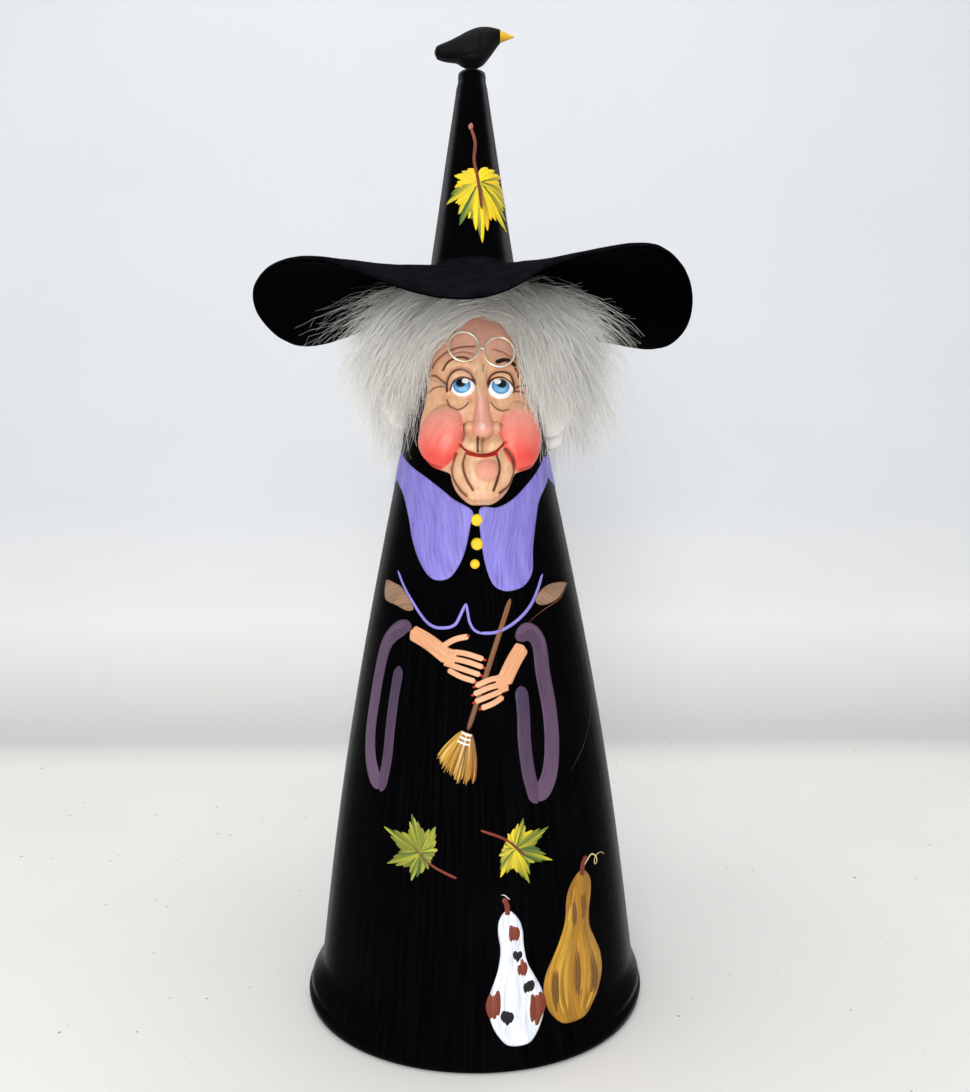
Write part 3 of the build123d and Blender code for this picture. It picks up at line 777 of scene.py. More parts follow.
def makeFace(material):
    edge = np.array(face["edge"])
    bottom, top = edge[0, 0], edge[-1, 0]
    left = smoothLine(edge[:, [1, 0]], 10)
    right = smoothLine(edge[:, [2, 0]], 10)
    rows = int((top - bottom) / face["step"]) + 1
    columns = int((edge[:, 2] - edge[:, 1]).max() * 1.12 / face["step"]) + 1
    zs = np.linspace(bottom, top, rows)
    lefts = np.interp(zs, left[:, 1], left[:, 0])
    rights = np.interp(zs, right[:, 1], right[:, 0])
    share = np.linspace(0, 1, columns)
    radius = gownRadius(zs)
    first, last = np.arcsin(lefts / radius), np.arcsin(rights / radius)
    angle = first[:, None] + (last - first)[:, None] * share[None, :]
    x = radius[:, None] * np.sin(angle)
    z = np.broadcast_to(zs[:, None], x.shape).copy()
    rimLine = np.vstack([left, right[::-1], left[:1]])
    edgeDistance = distanceTo(x, z, rimLine[::2] if len(rimLine) % 2 else rimLine)
    high, far = faceRelief(x, z, edgeDistance)
    paint = facePaint(x, z, far)
    border = np.zeros(x.shape, bool)
    border[0, :] = border[-1, :] = border[:, 0] = border[:, -1] = True
    high = np.where(border, face["rimDepth"], high)
    px, py, pz = facePoint(x, z, high)
    points = np.stack([px, py, pz], -1).reshape(-1, 3)
    faces = ringFaces(rows, columns, closed=False)
    # the back lies on the canvas: rings drawn in from the rim
    loop = [(0, c) for c in range(columns)] + [(r, columns - 1) for r in range(1, rows)]
    loop += [(rows - 1, c) for c in range(columns - 2, -1, -1)] + [(r, 0) for r in range(rows - 2, 0, -1)]
    rim = [r * columns + c for r, c in loop]
    points = list(points)
    rx = np.array([x[r, c] for r, c in loop])
    rz = np.array([z[r, c] for r, c in loop])
    middle = face["backMiddle"]
    inner = rim
    for shrink in face["backRings"]:
        sx, sz = middle[0] + (rx - middle[0]) * shrink, middle[1] + (rz - middle[1]) * shrink
        bx, by, bz = facePoint(sx, sz, np.full(sx.shape, face["backDepth"]))
        start = len(points)
        points += list(np.stack([bx, by, bz], -1))
        ring = list(range(start, start + len(rim)))
        faces += zip(inner[1:] + inner[:1], inner, ring, ring[1:] + ring[:1])
        inner = ring
    hub = len(points)
    bx, by, bz = facePoint(*(np.array([value]) for value in (*middle, face["backDepth"])))
    points.append((bx[0], by[0], bz[0]))
    faces += [(after, here, hub) for after, here in zip(inner[1:] + inner[:1], inner)]
    made = makeObject("faceMask", np.array(points) * metre, faces, material)
    colours = np.ones((len(points), 4), np.float32)
    colours[:x.size, :3] = paint.reshape(-1, 3)
    colours[x.size:, :3] = rgb(*face["skinShade"])[:3]
    layer = made.data.color_attributes.new("paint", "FLOAT_COLOR", "POINT")
    layer.data.foreach_set("color", colours.ravel())
    return made


def paintedClay():
    material, shader, place = newMaterial("paintedClay")
    brush = noiseOf(place, 700.0, 3, 0.6, (1, 1, 0.3))
    grain = noiseOf(place, 2600.0, 2)
    give(shader, {"Base Color": paintOf(shader, rangeOf(brush, 0.3, 0.7, 0.93, 1.06)),
                  "Roughness": rangeOf(brush, 0.3, 0.7, 0.34, 0.5), "Specular IOR Level": 0.45,
                  "Subsurface Weight": 0.06, "Subsurface Radius": (0.0012, 0.0006, 0.0003),
                  "Normal": bumpOf(timesPlus(grain, 0.3, brush), 0.00008, 0.6)})
    return material


faceMask = makeFace(paintedClay())
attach(faceMask, "figure")
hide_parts("face")
print("face is modelled and painted")


brim = {
    "radius": 85.0, "felt": 2.4, "seat": 283.5, "clearance": 0.3,
    "droop": 13.0, "sag": 1.5, "curl": 1.15,
    "settle": 1.6, "lip": 2.6, "lipReach": 0.1,     # lies lower than its seat, and turns up round the crown
    # depth and turn of each order
    "waves": ((4.6, 13.3), (2.8, -66.1), (7.8, -0.1), (3.3, -3.7), (1.2, 16.4), (1.3, -2.8)),
    "pinch": 3.3, "pinchTurn": 18.0, "pinchWidth": 10.0,       # a short rise of the front edge
    "around": 360, "across": 96,
    "lumpiness": 0.5,
    "tone": (5, 5, 8), "wornTone": (20, 20, 25), "fibreTone": (48, 47, 53), "underShade": (0, 0, 1),
}


def brimTree(material):
    tree, start, out, sockets = newTree("brimFelt", {
        "Radius": ("Float", 0.085), "Hole": ("Float", 0.017), "Seat": ("Float", 0.285), "Felt": ("Float", 0.0024),
        "Droop": ("Float", 0.017), "Sag": ("Float", 0.0015), "Curl": ("Float", 1.9),
        "Settle": ("Float", 0.0016), "Lip": ("Float", 0.0026), "Lip reach": ("Float", 0.1),
        "Around": ("Int", 300), "Across": ("Int", 80), "Lumpiness": ("Float", 0.0005)}, takesMesh=False)
    given = start.outputs
    grid = addNode(tree, "GeometryNodeMeshGrid", {
        "Size X": 1.0, "Size Y": 1.0, "Vertices X": given["Around"], "Vertices Y": given["Across"]})
    flat = parted(fieldOf(tree, "InputPosition"))
    azimuth = times(flat[0], 2 * math.pi)
    loop = times(plus(flat[1], 0.5), 2 * math.pi)
    share = timesPlus(calc("COSINE", loop), -0.5, 0.5)
    upper = calc("SINE", loop)
    rounded = calc("DIVIDE", upper, plus(calc("ABSOLUTE", upper), 0.09))
    half = times(given["Felt"], 0.5)
    thick = times(rounded, half, 1.09)
    radius = timesPlus(minus(given["Radius"], given["Hole"]), share, given["Hole"])
    # how far the felt droops: six waves round the crown, and the pinch in front
    droop = given["Droop"]
    for order, (depth, turn) in enumerate(brim["waves"], start=1):
        phase = timesPlus(azimuth, order, -order * math.radians(turn))
        droop = timesPlus(calc("COSINE", phase), depth * metre, droop)
    away = timesPlus(azimuth, 180 / math.pi / brim["pinchWidth"], -brim["pinchTurn"] / brim["pinchWidth"])
    pinch = calc("EXPONENT", times(away, away, -1.0))
    droop = timesPlus(pinch, -brim["pinch"] * metre, droop)
    fall = times(droop, calc("POWER", share, given["Curl"]))
    sag = times(given["Sag"], calc("SINE", times(share, math.pi)))
    height = minus(minus(given["Seat"], fall), plus(sag, half))
    front = calc("COSINE", azimuth)
    aside = calc("MINIMUM", timesPlus(front, -1.1, 1.1), 1.0)
    settled = times(times(given["Settle"], aside), minus(1.0, share))
    height = minus(plus(height, thick), settled)
    near = calc("MAXIMUM", minus(1.0, calc("DIVIDE", share, given["Lip reach"])), 0.0)
    lip = times(given["Lip"], timesPlus(front, 0.45, 0.75))
    height = plus(height, times(lip, times(near, near)))
    x = times(radius, calc("SINE", azimuth))
    y = times(radius, times(front, -1.0))
    lump = noiseAt(joined(x, y), 60.0, 2.0)
    rise = times(timesPlus(lump, 2.0, -1.0), given["Lumpiness"])
    spot = vectorCalc("ADD", joined(x, y, height), joined(0.0, 0.0, rise))
    marked = store(grid.outputs[0], "upper", rounded)
    moved = addNode(tree, "GeometryNodeSetPosition", {0: marked, "Position": spot})
    closed = addNode(tree, "GeometryNodeMergeByDistance", {0: moved.outputs[0], "Distance": 0.00001})
    finishTree(tree, closed.outputs[0], material, out)
    return tree, sockets


def felt(name, tone, worn, fibreTone, under):
    # dyed wool felt: fine tangled fibres, a little dusty above, and painted full black below as painted shade
    material, shader, place = newMaterial(name)
    fibre = noiseOf(place, 1500.0, 4, 0.7)
    mottle = noiseOf(place, 110.0, 5, 0.7)
    base = mixColour(rangeOf(mottle, 0.35, 0.7), tone, worn)
    base = mixColour(rangeOf(fibre, 0.58, 0.72, 0, 0.5), base, fibreTone)
    # painted shade: the felt's underside is painted full black
    base = mixColour(rangeOf(attributeOf(shader, "upper"), 0.1, -0.5), base, under)
    give(shader, {"Base Color": base, "Roughness": 0.95, "Specular IOR Level": 0.01,
                  "Normal": bumpOf(fibre, 0.0004, 0.5, bumpOf(mottle, 0.0012, 0.4))})
    return material


blackFelt = felt("blackFelt", brim["tone"], brim["wornTone"], brim["fibreTone"], brim["underShade"])
brimShape = makeObject("brimFelt", [(0, 0, 0)], [], blackFelt)
tree, sockets = brimTree(blackFelt)
hole = radiusAt(brim["seat"] - brim["felt"]) + brim["clearance"]
brimValues = {label.capitalize(): brim[label] * metre for label in
              ("radius", "seat", "felt", "droop", "sag", "settle", "lip", "lumpiness")}
growWith(brimShape, tree, sockets, {
    **brimValues, "Hole": hole * metre, "Curl": brim["curl"], "Lip reach": brim["lipReach"],
    "Around": brim["around"] + 1, "Across": brim["across"] + 1})
faceOutwards(brimShape)
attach(brimShape, "hat")
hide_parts("hat_brim")
print("brim is pressed")


def brimTop(x, y):
    # the same rule, to keep the wool under the felt
    azimuth = np.degrees(np.arctan2(x, -y))
    share = np.clip((np.hypot(x, y) - hole) / (brim["radius"] - hole), 0, 1)
    droop = brim["droop"]
    for order, (depth, turn) in enumerate(brim["waves"], start=1):
        droop = droop + depth * np.cos(np.radians(order * (azimuth - turn)))
    droop = droop - brim["pinch"] * np.exp(-((azimuth - brim["pinchTurn"]) / brim["pinchWidth"]) ** 2)
    level = brim["seat"] - brim["settle"] * (1 - share) - droop * share ** brim["curl"]
    return level - brim["sag"] * np.sin(math.pi * share)


hair = {
    "strandsPerLock": 52, "points": 10, "thickness": 0.27,
    "rootSpread": 2.2, "tipSpread": 5.5,
    "frizz": 3.4, "frizzSize": 13.0, "curl": 1.5, "curlSize": 3.8,
    "shortest": 0.55,
    # looser locks that differ from the rest, in millimetres where it is a length
    "strays": {"Strands": 24, "Points": 15, "Thickness": 0.125, "Tip spread": 8.0, "Frizz": 3.6, "Curl": 1.4,
               "Curl size": 4.2},
    "fringe": {"Strands": 33, "Tip spread": 4.0, "Root spread": 2.0, "Frizz": 2.8, "Curl": 1.3},
    "wisps": {"Strands": 18, "Points": 13, "Thickness": 0.14, "Root spread": 3.0, "Tip spread": 4.4, "Frizz": 4.0,
              "Frizz size": 8.0, "Curl": 1.8, "Curl size": 3.0},
    "light": (255, 254, 249), "dark": (245, 242, 235),
    # how far the wool stands out from the middle at each height, over the ears
    "heights": (199.0, 204.0, 211.0, 220.0, 232.0, 242.0, 250.0, 262.0, 272.0),
    "reach": {"left": (36.0, 41.0, 47.0, 53.0, 60.0, 64.0, 66.0, 67.0, 58.0),
              "right": (45.0, 51.0, 58.0, 63.0, 67.5, 70.5, 72.0, 72.0, 62.0)},
    # share of that reach, and where the wool ends below, at each azimuth
    "turns": (40.0, 55.0, 72.0, 90.0, 115.0, 140.0, 180.0),
    "share": (0.50, 0.68, 0.92, 1.0, 0.90, 0.76, 0.68),
    "lowest": (222.0, 210.0, 202.0, 198.0, 197.0, 197.0, 197.0),
    "locks": {"left": 78, "right": 84, "back": 76},
    "strayLocks": {"left": 44, "right": 48, "back": 30},
    "fringeLocks": 74, "wispLocks": 46,
    # the fringe's lower edge: azimuth and height
    "fringeEdge": ((-80, 234.0), (-60, 240.0), (-48, 246.5), (-33, 255.0), (-15, 261.0), (0, 263.6), (22, 263.6),
                   (36, 260.6), (50, 254.0), (62, 245.0), (80, 236.0)),
    "templeLocks": {"left": 16, "right": 8},
    # the matted inside: share of the depth it fills, where it starts and ends round the head, its top,
    # and how far its foot stays above the loose locks at these turns
    "matted": 0.42, "mattedTurns": (47.0, 313.0), "mattedTop": 270,
    "mattedFoot": ((95, 130), (19, 12)), "mattedAround": 150, "mattedAcross": 40,
    # where locks leave the head, and where the shortest ones end
    "rootTop": 277, "shortEnd": 266,
    "napeEnds": (200, 214),
    # turns between which the locks leave the head; the side locks by first turn and span
    "backTurns": (128, 232), "sideTurns": (46, 86),
    # every fourth side lock leaves the fringe and sweeps sideways
    "sweepTurns": (46, 66), "sweepRoots": (20, 42),
    "parting": 7, "fringeRoots": (268, 277), "fringeLift": (0.4, 3.4),
    "wispTurns": (-38, 46), "wispSpan": (14, 34), "wispRoots": (266, 272), "wispLift": (2.2, 5.5),
    "templeRoots": (258, 270), "templeEnds": (224, 240), "templeStart": (44, 52), "templeFinish": (50, 64),
    "gap": 0.9,                  # kept between the wool and the felt or the cone
}


def woolMaterial():
    material, shader, place = newMaterial("greyWool")
    cloud = noiseOf(place, 90.0, 3)
    mixed = timesPlus(cloud, 0.5, times(attributeOf(shader, "shade"), 0.6))
    base = mixColour(rangeOf(mixed, 0.25, 0.8), hair["dark"], hair["light"])
    base = mixColour(rangeOf(attributeOf(shader, "along"), 0.0, 0.25, 0.35, 0.0), base, hair["dark"])
    give(shader, {"Base Color": base, "Roughness": rangeOf(cloud, 0.3, 0.7, 0.55, 0.75), "Specular IOR Level": 0.25,
                  "Sheen Weight": 0.25, "Sheen Roughness": 0.5})
    return material


def woolTree(material):
    tree, start, out, sockets = newTree("woolLocks", {
        "Strands": ("Int", 60), "Points": ("Int", 9), "Thickness": ("Float", 0.00015),
        "Root spread": ("Float", 0.001), "Tip spread": ("Float", 0.006), "Frizz": ("Float", 0.002),
        "Frizz size": ("Float", 0.012), "Curl": ("Float", 0.001), "Curl size": ("Float", 0.004),
        "Shortest": ("Float", 0.5), "Seed": ("Int", 1)})
    given = start.outputs
    lines = addNode(tree, "GeometryNodeMeshToCurve", {0: given["Geometry"]}).outputs[0]
    copies = addNode(tree, "GeometryNodeDuplicateElements", {0: lines, "Amount": given["Strands"]}, domain="SPLINE")
    curves = copies.outputs[0]
    # every strand gets its own values, drawn from the seed
    drawn = (("stray", "FLOAT_VECTOR", (-1, -1, -1), (1, 1, 1)), ("drift", "FLOAT_VECTOR", (-9, -9, -9), (9, 9, 9)),
             ("shade", "FLOAT", 0.0, 1.0), ("reach", "FLOAT", 0.0, 1.0))
    for shift, (label, kind, low, high) in enumerate(drawn, start=1):
        first, output = (0, 0) if kind == "FLOAT_VECTOR" else (2, 1)
        values = {"ID": fieldOf(tree, "InputIndex"), "Seed": plus(given["Seed"], shift), first: low, first + 1: high}
        made = addNode(tree, "FunctionNodeRandomValue", values, data_type=kind)
        curves = store(curves, label, made.outputs[output], kind, "CURVE")
    reach = timesPlus(named(tree, "reach"), minus(1.0, given["Shortest"]), given["Shortest"])
    cut = addNode(tree, "GeometryNodeTrimCurve", {0: curves, "End": reach}, mode="FACTOR")
    even = addNode(tree, "GeometryNodeResampleCurve", {0: cut.outputs[0], "Count": given["Points"]})
    factor = fieldOf(tree, "SplineParameter", "Factor")
    place = fieldOf(tree, "InputPosition")
    spread = timesPlus(calc("POWER", factor, 1.3), minus(given["Tip spread"], given["Root spread"]),
                       given["Root spread"])
    offset = vectorCalc("SCALE", named(tree, "stray", "FLOAT_VECTOR"), scale=spread)
    for amount, size, drift in (("Frizz", "Frizz size", 0.25), ("Curl", "Curl size", 1.0)):
        scaled = vectorCalc("SCALE", place, scale=calc("DIVIDE", 1.0, given[size]))
        shift = vectorCalc("SCALE", named(tree, "drift", "FLOAT_VECTOR"), scale=drift)
        noise = noiseAt(vectorCalc("ADD", scaled, shift), 1.0, 1.0, "Color")
        wave = vectorCalc("SUBTRACT", noise, (0.5, 0.5, 0.5))
        strength = times(times(given[amount], 2.6), calc("POWER", factor, 0.6))
        offset = vectorCalc("ADD", offset, vectorCalc("SCALE", wave, scale=strength))
    bent = addNode(tree, "GeometryNodeSetPosition", {0: even.outputs[0], "Offset": offset})
    marked = store(bent.outputs[0], "along", factor)
    thick = times(timesPlus(factor, -0.65, 1.0), times(given["Thickness"], 0.5))
    ring = addNode(tree, "GeometryNodeCurvePrimitiveCircle", {"Resolution": 3, "Radius": 1.0})
    tubes = addNode(tree, "GeometryNodeCurveToMesh",
                    {0: marked, 1: ring.outputs[0], "Scale": thick, "Fill Caps": True})
    finishTree(tree, tubes.outputs[0], material, out)
    return tree, sockets


def underBrim(point, spare, proud=1.2):
    # keeps a point below the felt and outside the cone
    x, y, z = point
    top = float(brimTop(x, y)) - brim["felt"] - spare
    z = min(z, top)
    radius = math.hypot(x, y)
    least = radiusAt(z) + proud
    if radius < least:
        x, y = x * least / max(radius, 0.1), y * least / max(radius, 0.1)
    return np.array((x, y, z))


def hairReach(turn, z):
    around = abs(turn)
    side = hair["reach"]["right" if turn > 0 else "left"]
    return float(np.interp(z, hair["heights"], side) * np.interp(around, hair["turns"], hair["share"]))


def lowestHair(turn):
    return float(np.interp(abs(turn), hair["turns"], hair["lowest"]))


def atTurn(turn, radius, z):
    angle = math.radians(turn)
    return np.array((radius * math.sin(angle), -radius * math.cos(angle), z))


def fannedLocks(side, count, chance, outer=0.0):
    # each lock leaves the head under the brim, runs outwards and hangs down to its place in the fan
    locks = []
    for index in range(count):
        sign = {"left": -1, "right": 1, "back": 1}[side]
        if side == "back":
            turn = chance.uniform(*hair["backTurns"])
            turn = turn - 360 if turn > 180 else turn
        else:
            first, span = hair["sideTurns"]
            turn = sign * (first + span * chance.random() ** 0.95)
        fan = (index * 0.618) % 1.0
        rootTurn = turn * 0.94
        if side != "back" and outer == 0 and index % 4 == 0:
            turn, fan = sign * chance.uniform(*hair["sweepTurns"]), 0.05 + 0.5 * chance.random()
            rootTurn = sign * chance.uniform(*hair["sweepRoots"])
        depth = outer + (1 - outer) * chance.random() ** 0.55
        endHigh = hair["shortEnd"] + (lowestHair(turn) - hair["shortEnd"]) * fan ** 0.72
        endTurn = turn + chance.uniform(-6, 6)
        near = radiusAt(endHigh) + 1.5
        endRadius = near + (hairReach(endTurn, endHigh) * chance.uniform(0.93, 1.04) - near) * (0.3 + 0.7 * depth)
        if side == "back" and index % 3 == 0:       # short locks that close the nape
            endHigh = chance.uniform(*hair["napeEnds"])
            endRadius = radiusAt(206) + chance.uniform(2.0, 9.0)
        rootHigh = hair["rootTop"] - 22 * fan * chance.random() - 4 * chance.random()
        rootRadius = radiusAt(rootHigh) + 0.8
        root = atTurn(rootTurn, rootRadius + (3.0 if abs(rootTurn) < 43 else 0), rootHigh)
        end = atTurn(endTurn, endRadius, endHigh)
        bow = atTurn((turn + rootTurn) / 2 if abs(rootTurn) < 43 else turn,
                     rootRadius + (endRadius - rootRadius) * chance.uniform(0.55, 0.75),
                     rootHigh + (endHigh - rootHigh) * chance.uniform(0.1, 0.28) + 2)
        line = []
        for step in range(9):
            t = step / 8
            point = root * (1 - t) ** 2 + bow * 2 * t * (1 - t) + end * t ** 2
            line.append(underBrim(point, 3.5 * t + 1.0))
        locks.append(line)
    return locks


def fringeFoot(turn):
    turns, heights = zip(*hair["fringeEdge"])
    return float(np.interp(turn, turns, heights))


def fringeLocks(count, chance):
    # parted over the nose and combed down to the temples
    locks = []
    for index in range(count):
        side = -1 if index % 2 else 1
        start = hair["parting"] + side * (46 * chance.random() ** 1.1 - 11)
        finish = hair["parting"] + side * (66 + 16 * chance.random())
        high = chance.uniform(*hair["fringeRoots"])
        above = 10.0 * chance.random() ** 1.3 - 1.5
        lift = chance.uniform(*hair["fringeLift"])
        line = []
        for step in range(11):
            t = step / 10
            angle = start + (finish - start) * t ** 1.25
            low = fringeFoot(angle) + above
            z = high + (low - high) * smoothStep(-0.34, 0.22, t)
            radius = radiusAt(z) + 3.2 + lift * math.sin(math.pi * min(t * 0.7 + 0.1, 1)) + 3.0 * t
            line.append(underBrim(atTurn(angle, radius, float(z)), 1.2))
        locks.append(line)
    return locks


def wispLocks(count, chance):
    # thin fuzz that crosses the top of the forehead under the brim
    locks = []
    for _ in range(count):
        start = chance.uniform(*hair["wispTurns"])
        finish = start + chance.choice((-1, 1)) * chance.uniform(*hair["wispSpan"])
        high, above = chance.uniform(*hair["wispRoots"]), chance.uniform(-2.0, 3.5)
        lift = chance.uniform(*hair["wispLift"])
        line = []
        for step in range(8):
            t = step / 7
            angle = start + (finish - start) * t
            low = fringeFoot(angle) + above
            z = high + (max(low, 246) - high) * smoothStep(0, 1, t)
            line.append(underBrim(atTurn(angle, radiusAt(z) + lift, float(z)), 1.2))
        locks.append(line)
    return locks


def templeLocks(side, count, chance):
    # short locks that lie over the edge of the face
    sign = -1 if side == "left" else 1
    locks = []
    for _ in range(count):
        high, low, start, finish = (chance.uniform(*hair["temple" + part])
                                    for part in ("Roots", "Ends", "Start", "Finish"))
        out = chance.uniform(1.0, 6.0)
        line = []
        for step in range(8):
            t = step / 7
            z = high + (low - high) * t
            radius = radiusAt(z) + 2.4 + out * math.sin(2.4 * t)
            line.append(underBrim(atTurn(sign * (start + (finish - start) * t), radius, z), 1.2))
        locks.append(line)
    return locks


def tuckIn(made):
    # strands that strayed into the felt or the cone are laid back against it
    mesh = made.data
    spots = np.empty(len(mesh.vertices) * 3, np.float32)
    mesh.vertices.foreach_get("co", spots)
    spots = spots.reshape(-1, 3) / metre
    radius = np.hypot(spots[:, 0], spots[:, 1])
    least = gownRadius(spots[:, 2]) + hair["gap"]
    push = np.maximum(least / np.maximum(radius, 0.1), 1)
    spots[:, :2] *= push[:, None]
    ceiling = brimTop(spots[:, 0], spots[:, 1]) - brim["felt"] - hair["gap"]
    inside = np.hypot(spots[:, 0], spots[:, 1]) < brim["radius"] + 1
    spots[:, 2] = np.where(inside, np.minimum(spots[:, 2], ceiling), spots[:, 2])
    mesh.vertices.foreach_set("co", (spots * metre).ravel().astype(np.float32))
    mesh.update()


def mattedWool(name, seed):
    # the matted inside, a thick band round the head under the loose strands
    loopCount, columns = hair["mattedAcross"], hair["mattedAround"]
    first, last = hair["mattedTurns"]
    points = []
    for column in range(columns + 1):
        share = column / columns
        turn = first + (last - first) * share
        flat = turn - 360 if turn > 180 else turn
        ends = math.sqrt(max(0.0, 1 - (2 * share - 1) ** 6))
        foot = lowestHair(flat) + float(np.interp(abs(flat), *hair["mattedFoot"]))
        foot += 2.5 * math.sin(turn * 0.37) + 1.5 * math.sin(turn * 0.9)
        foot = 262 + (foot - 262) * (0.3 + 0.7 * ends)
        for index in range(loopCount):
            around = 2 * math.pi * index / loopCount
            up = 0.5 + 0.5 * math.cos(around)
            z = foot + (hair["mattedTop"] - foot) * up
            inner = radiusAt(z) - 0.3
            if math.sin(around) <= 0:
                radius = inner
            else:
                full = hairReach(flat, z) - inner
                lump = 1 + 0.10 * math.sin(turn * 0.31 + z * 0.16 + seed)
                lump += 0.07 * math.sin(turn * 0.83 - z * 0.29) + 0.04 * math.sin(turn * 1.9 + z * 0.5)
                radius = inner + full * hair["matted"] * ends * lump * math.sin(around) ** 0.6
            points.append(underBrim(atTurn(turn, radius, z), 3.2, -0.3))
    faces = [(a, d, c, b) for a, b, c, d in ringFaces(columns + 1, loopCount)]
    faces.append(tuple(range(loopCount)))
    faces.append(tuple(columns * loopCount + i for i in reversed(range(loopCount))))
    made = makeObject(name, np.array(points) * metre, faces, wool)
    for label in ("shade", "along"):
        keepValues(made, label, "FLOAT", [0.5] * len(points))
    faceOutwards(made)
    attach(made, "figure")
    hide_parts("hair_left", "hair_right", "hair_back")
    return made


def lineMesh(name, lines):
    # a bare mesh of open lines, for a tree to grow along
    points, edges = [], []
    for line in lines:
        start = len(points)
        points += [tuple(np.array(p) * metre) for p in line]
        edges += [(i, i + 1) for i in range(start, len(points) - 1)]
    return makeObject(name, points, [], edges=edges)


def growHair(name, locks, seed, nodes, other=None):
    values = {
        "Strands": hair["strandsPerLock"], "Points": hair["points"], "Thickness": hair["thickness"],
        "Root spread": hair["rootSpread"], "Tip spread": hair["tipSpread"], "Frizz": hair["frizz"],
        "Frizz size": hair["frizzSize"], "Curl": hair["curl"], "Curl size": hair["curlSize"],
        "Shortest": hair["shortest"], "Seed": seed, **(other or {})}
    plain = ("Strands", "Points", "Shortest", "Seed")
    values = {label: value if label in plain else value * metre for label, value in values.items()}
    made = growWith(lineMesh(name, locks), woolNodes, woolSockets, values)
    tuckIn(made)
    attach(made, "figure")
    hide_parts(*nodes)


wool = woolMaterial()
woolNodes, woolSockets = woolTree(wool)
chance = random.Random(11)
mattedWool("hair_matted", 2)
for side in ("left", "right", "back"):
    nodes = ["hair_" + side]
    locks = fannedLocks(side, hair["locks"][side], chance)
    if side in hair["templeLocks"]:
        locks += templeLocks(side, hair["templeLocks"][side], chance)
    for part in (1, 2):
        growHair("hair_%s_%d" % (side, part), locks[part - 1::2], 40 * part, nodes)
    strays = fannedLocks(side, hair["strayLocks"][side], chance, 0.75)
    growHair("hair_%s_strays" % side, strays, 91, nodes, hair["strays"])
growHair("hair_fringe_1", fringeLocks(hair["fringeLocks"], chance), 7, ["hair_fringe"], hair["fringe"])
growHair("hair_fringe_strays", wispLocks(hair["wispLocks"], chance), 17, ["hair_fringe"], hair["wisps"])
print("wool is grown")


brushwork = {
    "thickness": 0.2,        # how proud the paint stands
    "sink": 0.12,            # how far it goes into the weave
    "ridge": 0.07,           # height of the bristle marks
    "pointStep": 0.6,
    "patchStep": 0.7,        # how fine a filled shape is cut
    "overlap": 0.0015,       # each stroke lies this much over the one before
    "lavender": (142, 133, 216), "lavenderDark": (118, 108, 196),
    "plum": (84, 60, 85), "plumLight": (98, 72, 100), "plumDark": (66, 50, 76),
    "tan": (160, 126, 98), "rust": (120, 62, 34), "skin": (226, 162, 118), "skinDark": (170, 98, 62),
    "skinLight": (236, 178, 138),
    "button": (252, 216, 6), "straw": (196, 142, 36), "strawDark": (122, 78, 24), "white": (236, 238, 242),
    "leafYellow": (242, 210, 22), "leafOlive": (124, 130, 38), "leafGreen": (66, 98, 40), "stem": (118, 40, 24),
    "tanDark": (132, 98, 70), "buttonDark": (232, 186, 20), "whiteShade": (190, 198, 214),
    "nail": (196, 40, 34), "russet": (116, 48, 26), "gold": (176, 124, 28), "goldDark": (112, 74, 18),
}


def azimuthOf(x, z):
    return math.asin(max(-0.999, min(0.999, x / radiusAt(z))))


def onGown(azimuth, z):
    radius = radiusAt(z)
    return (radius * math.sin(azimuth), -radius * math.cos(azimuth), z)


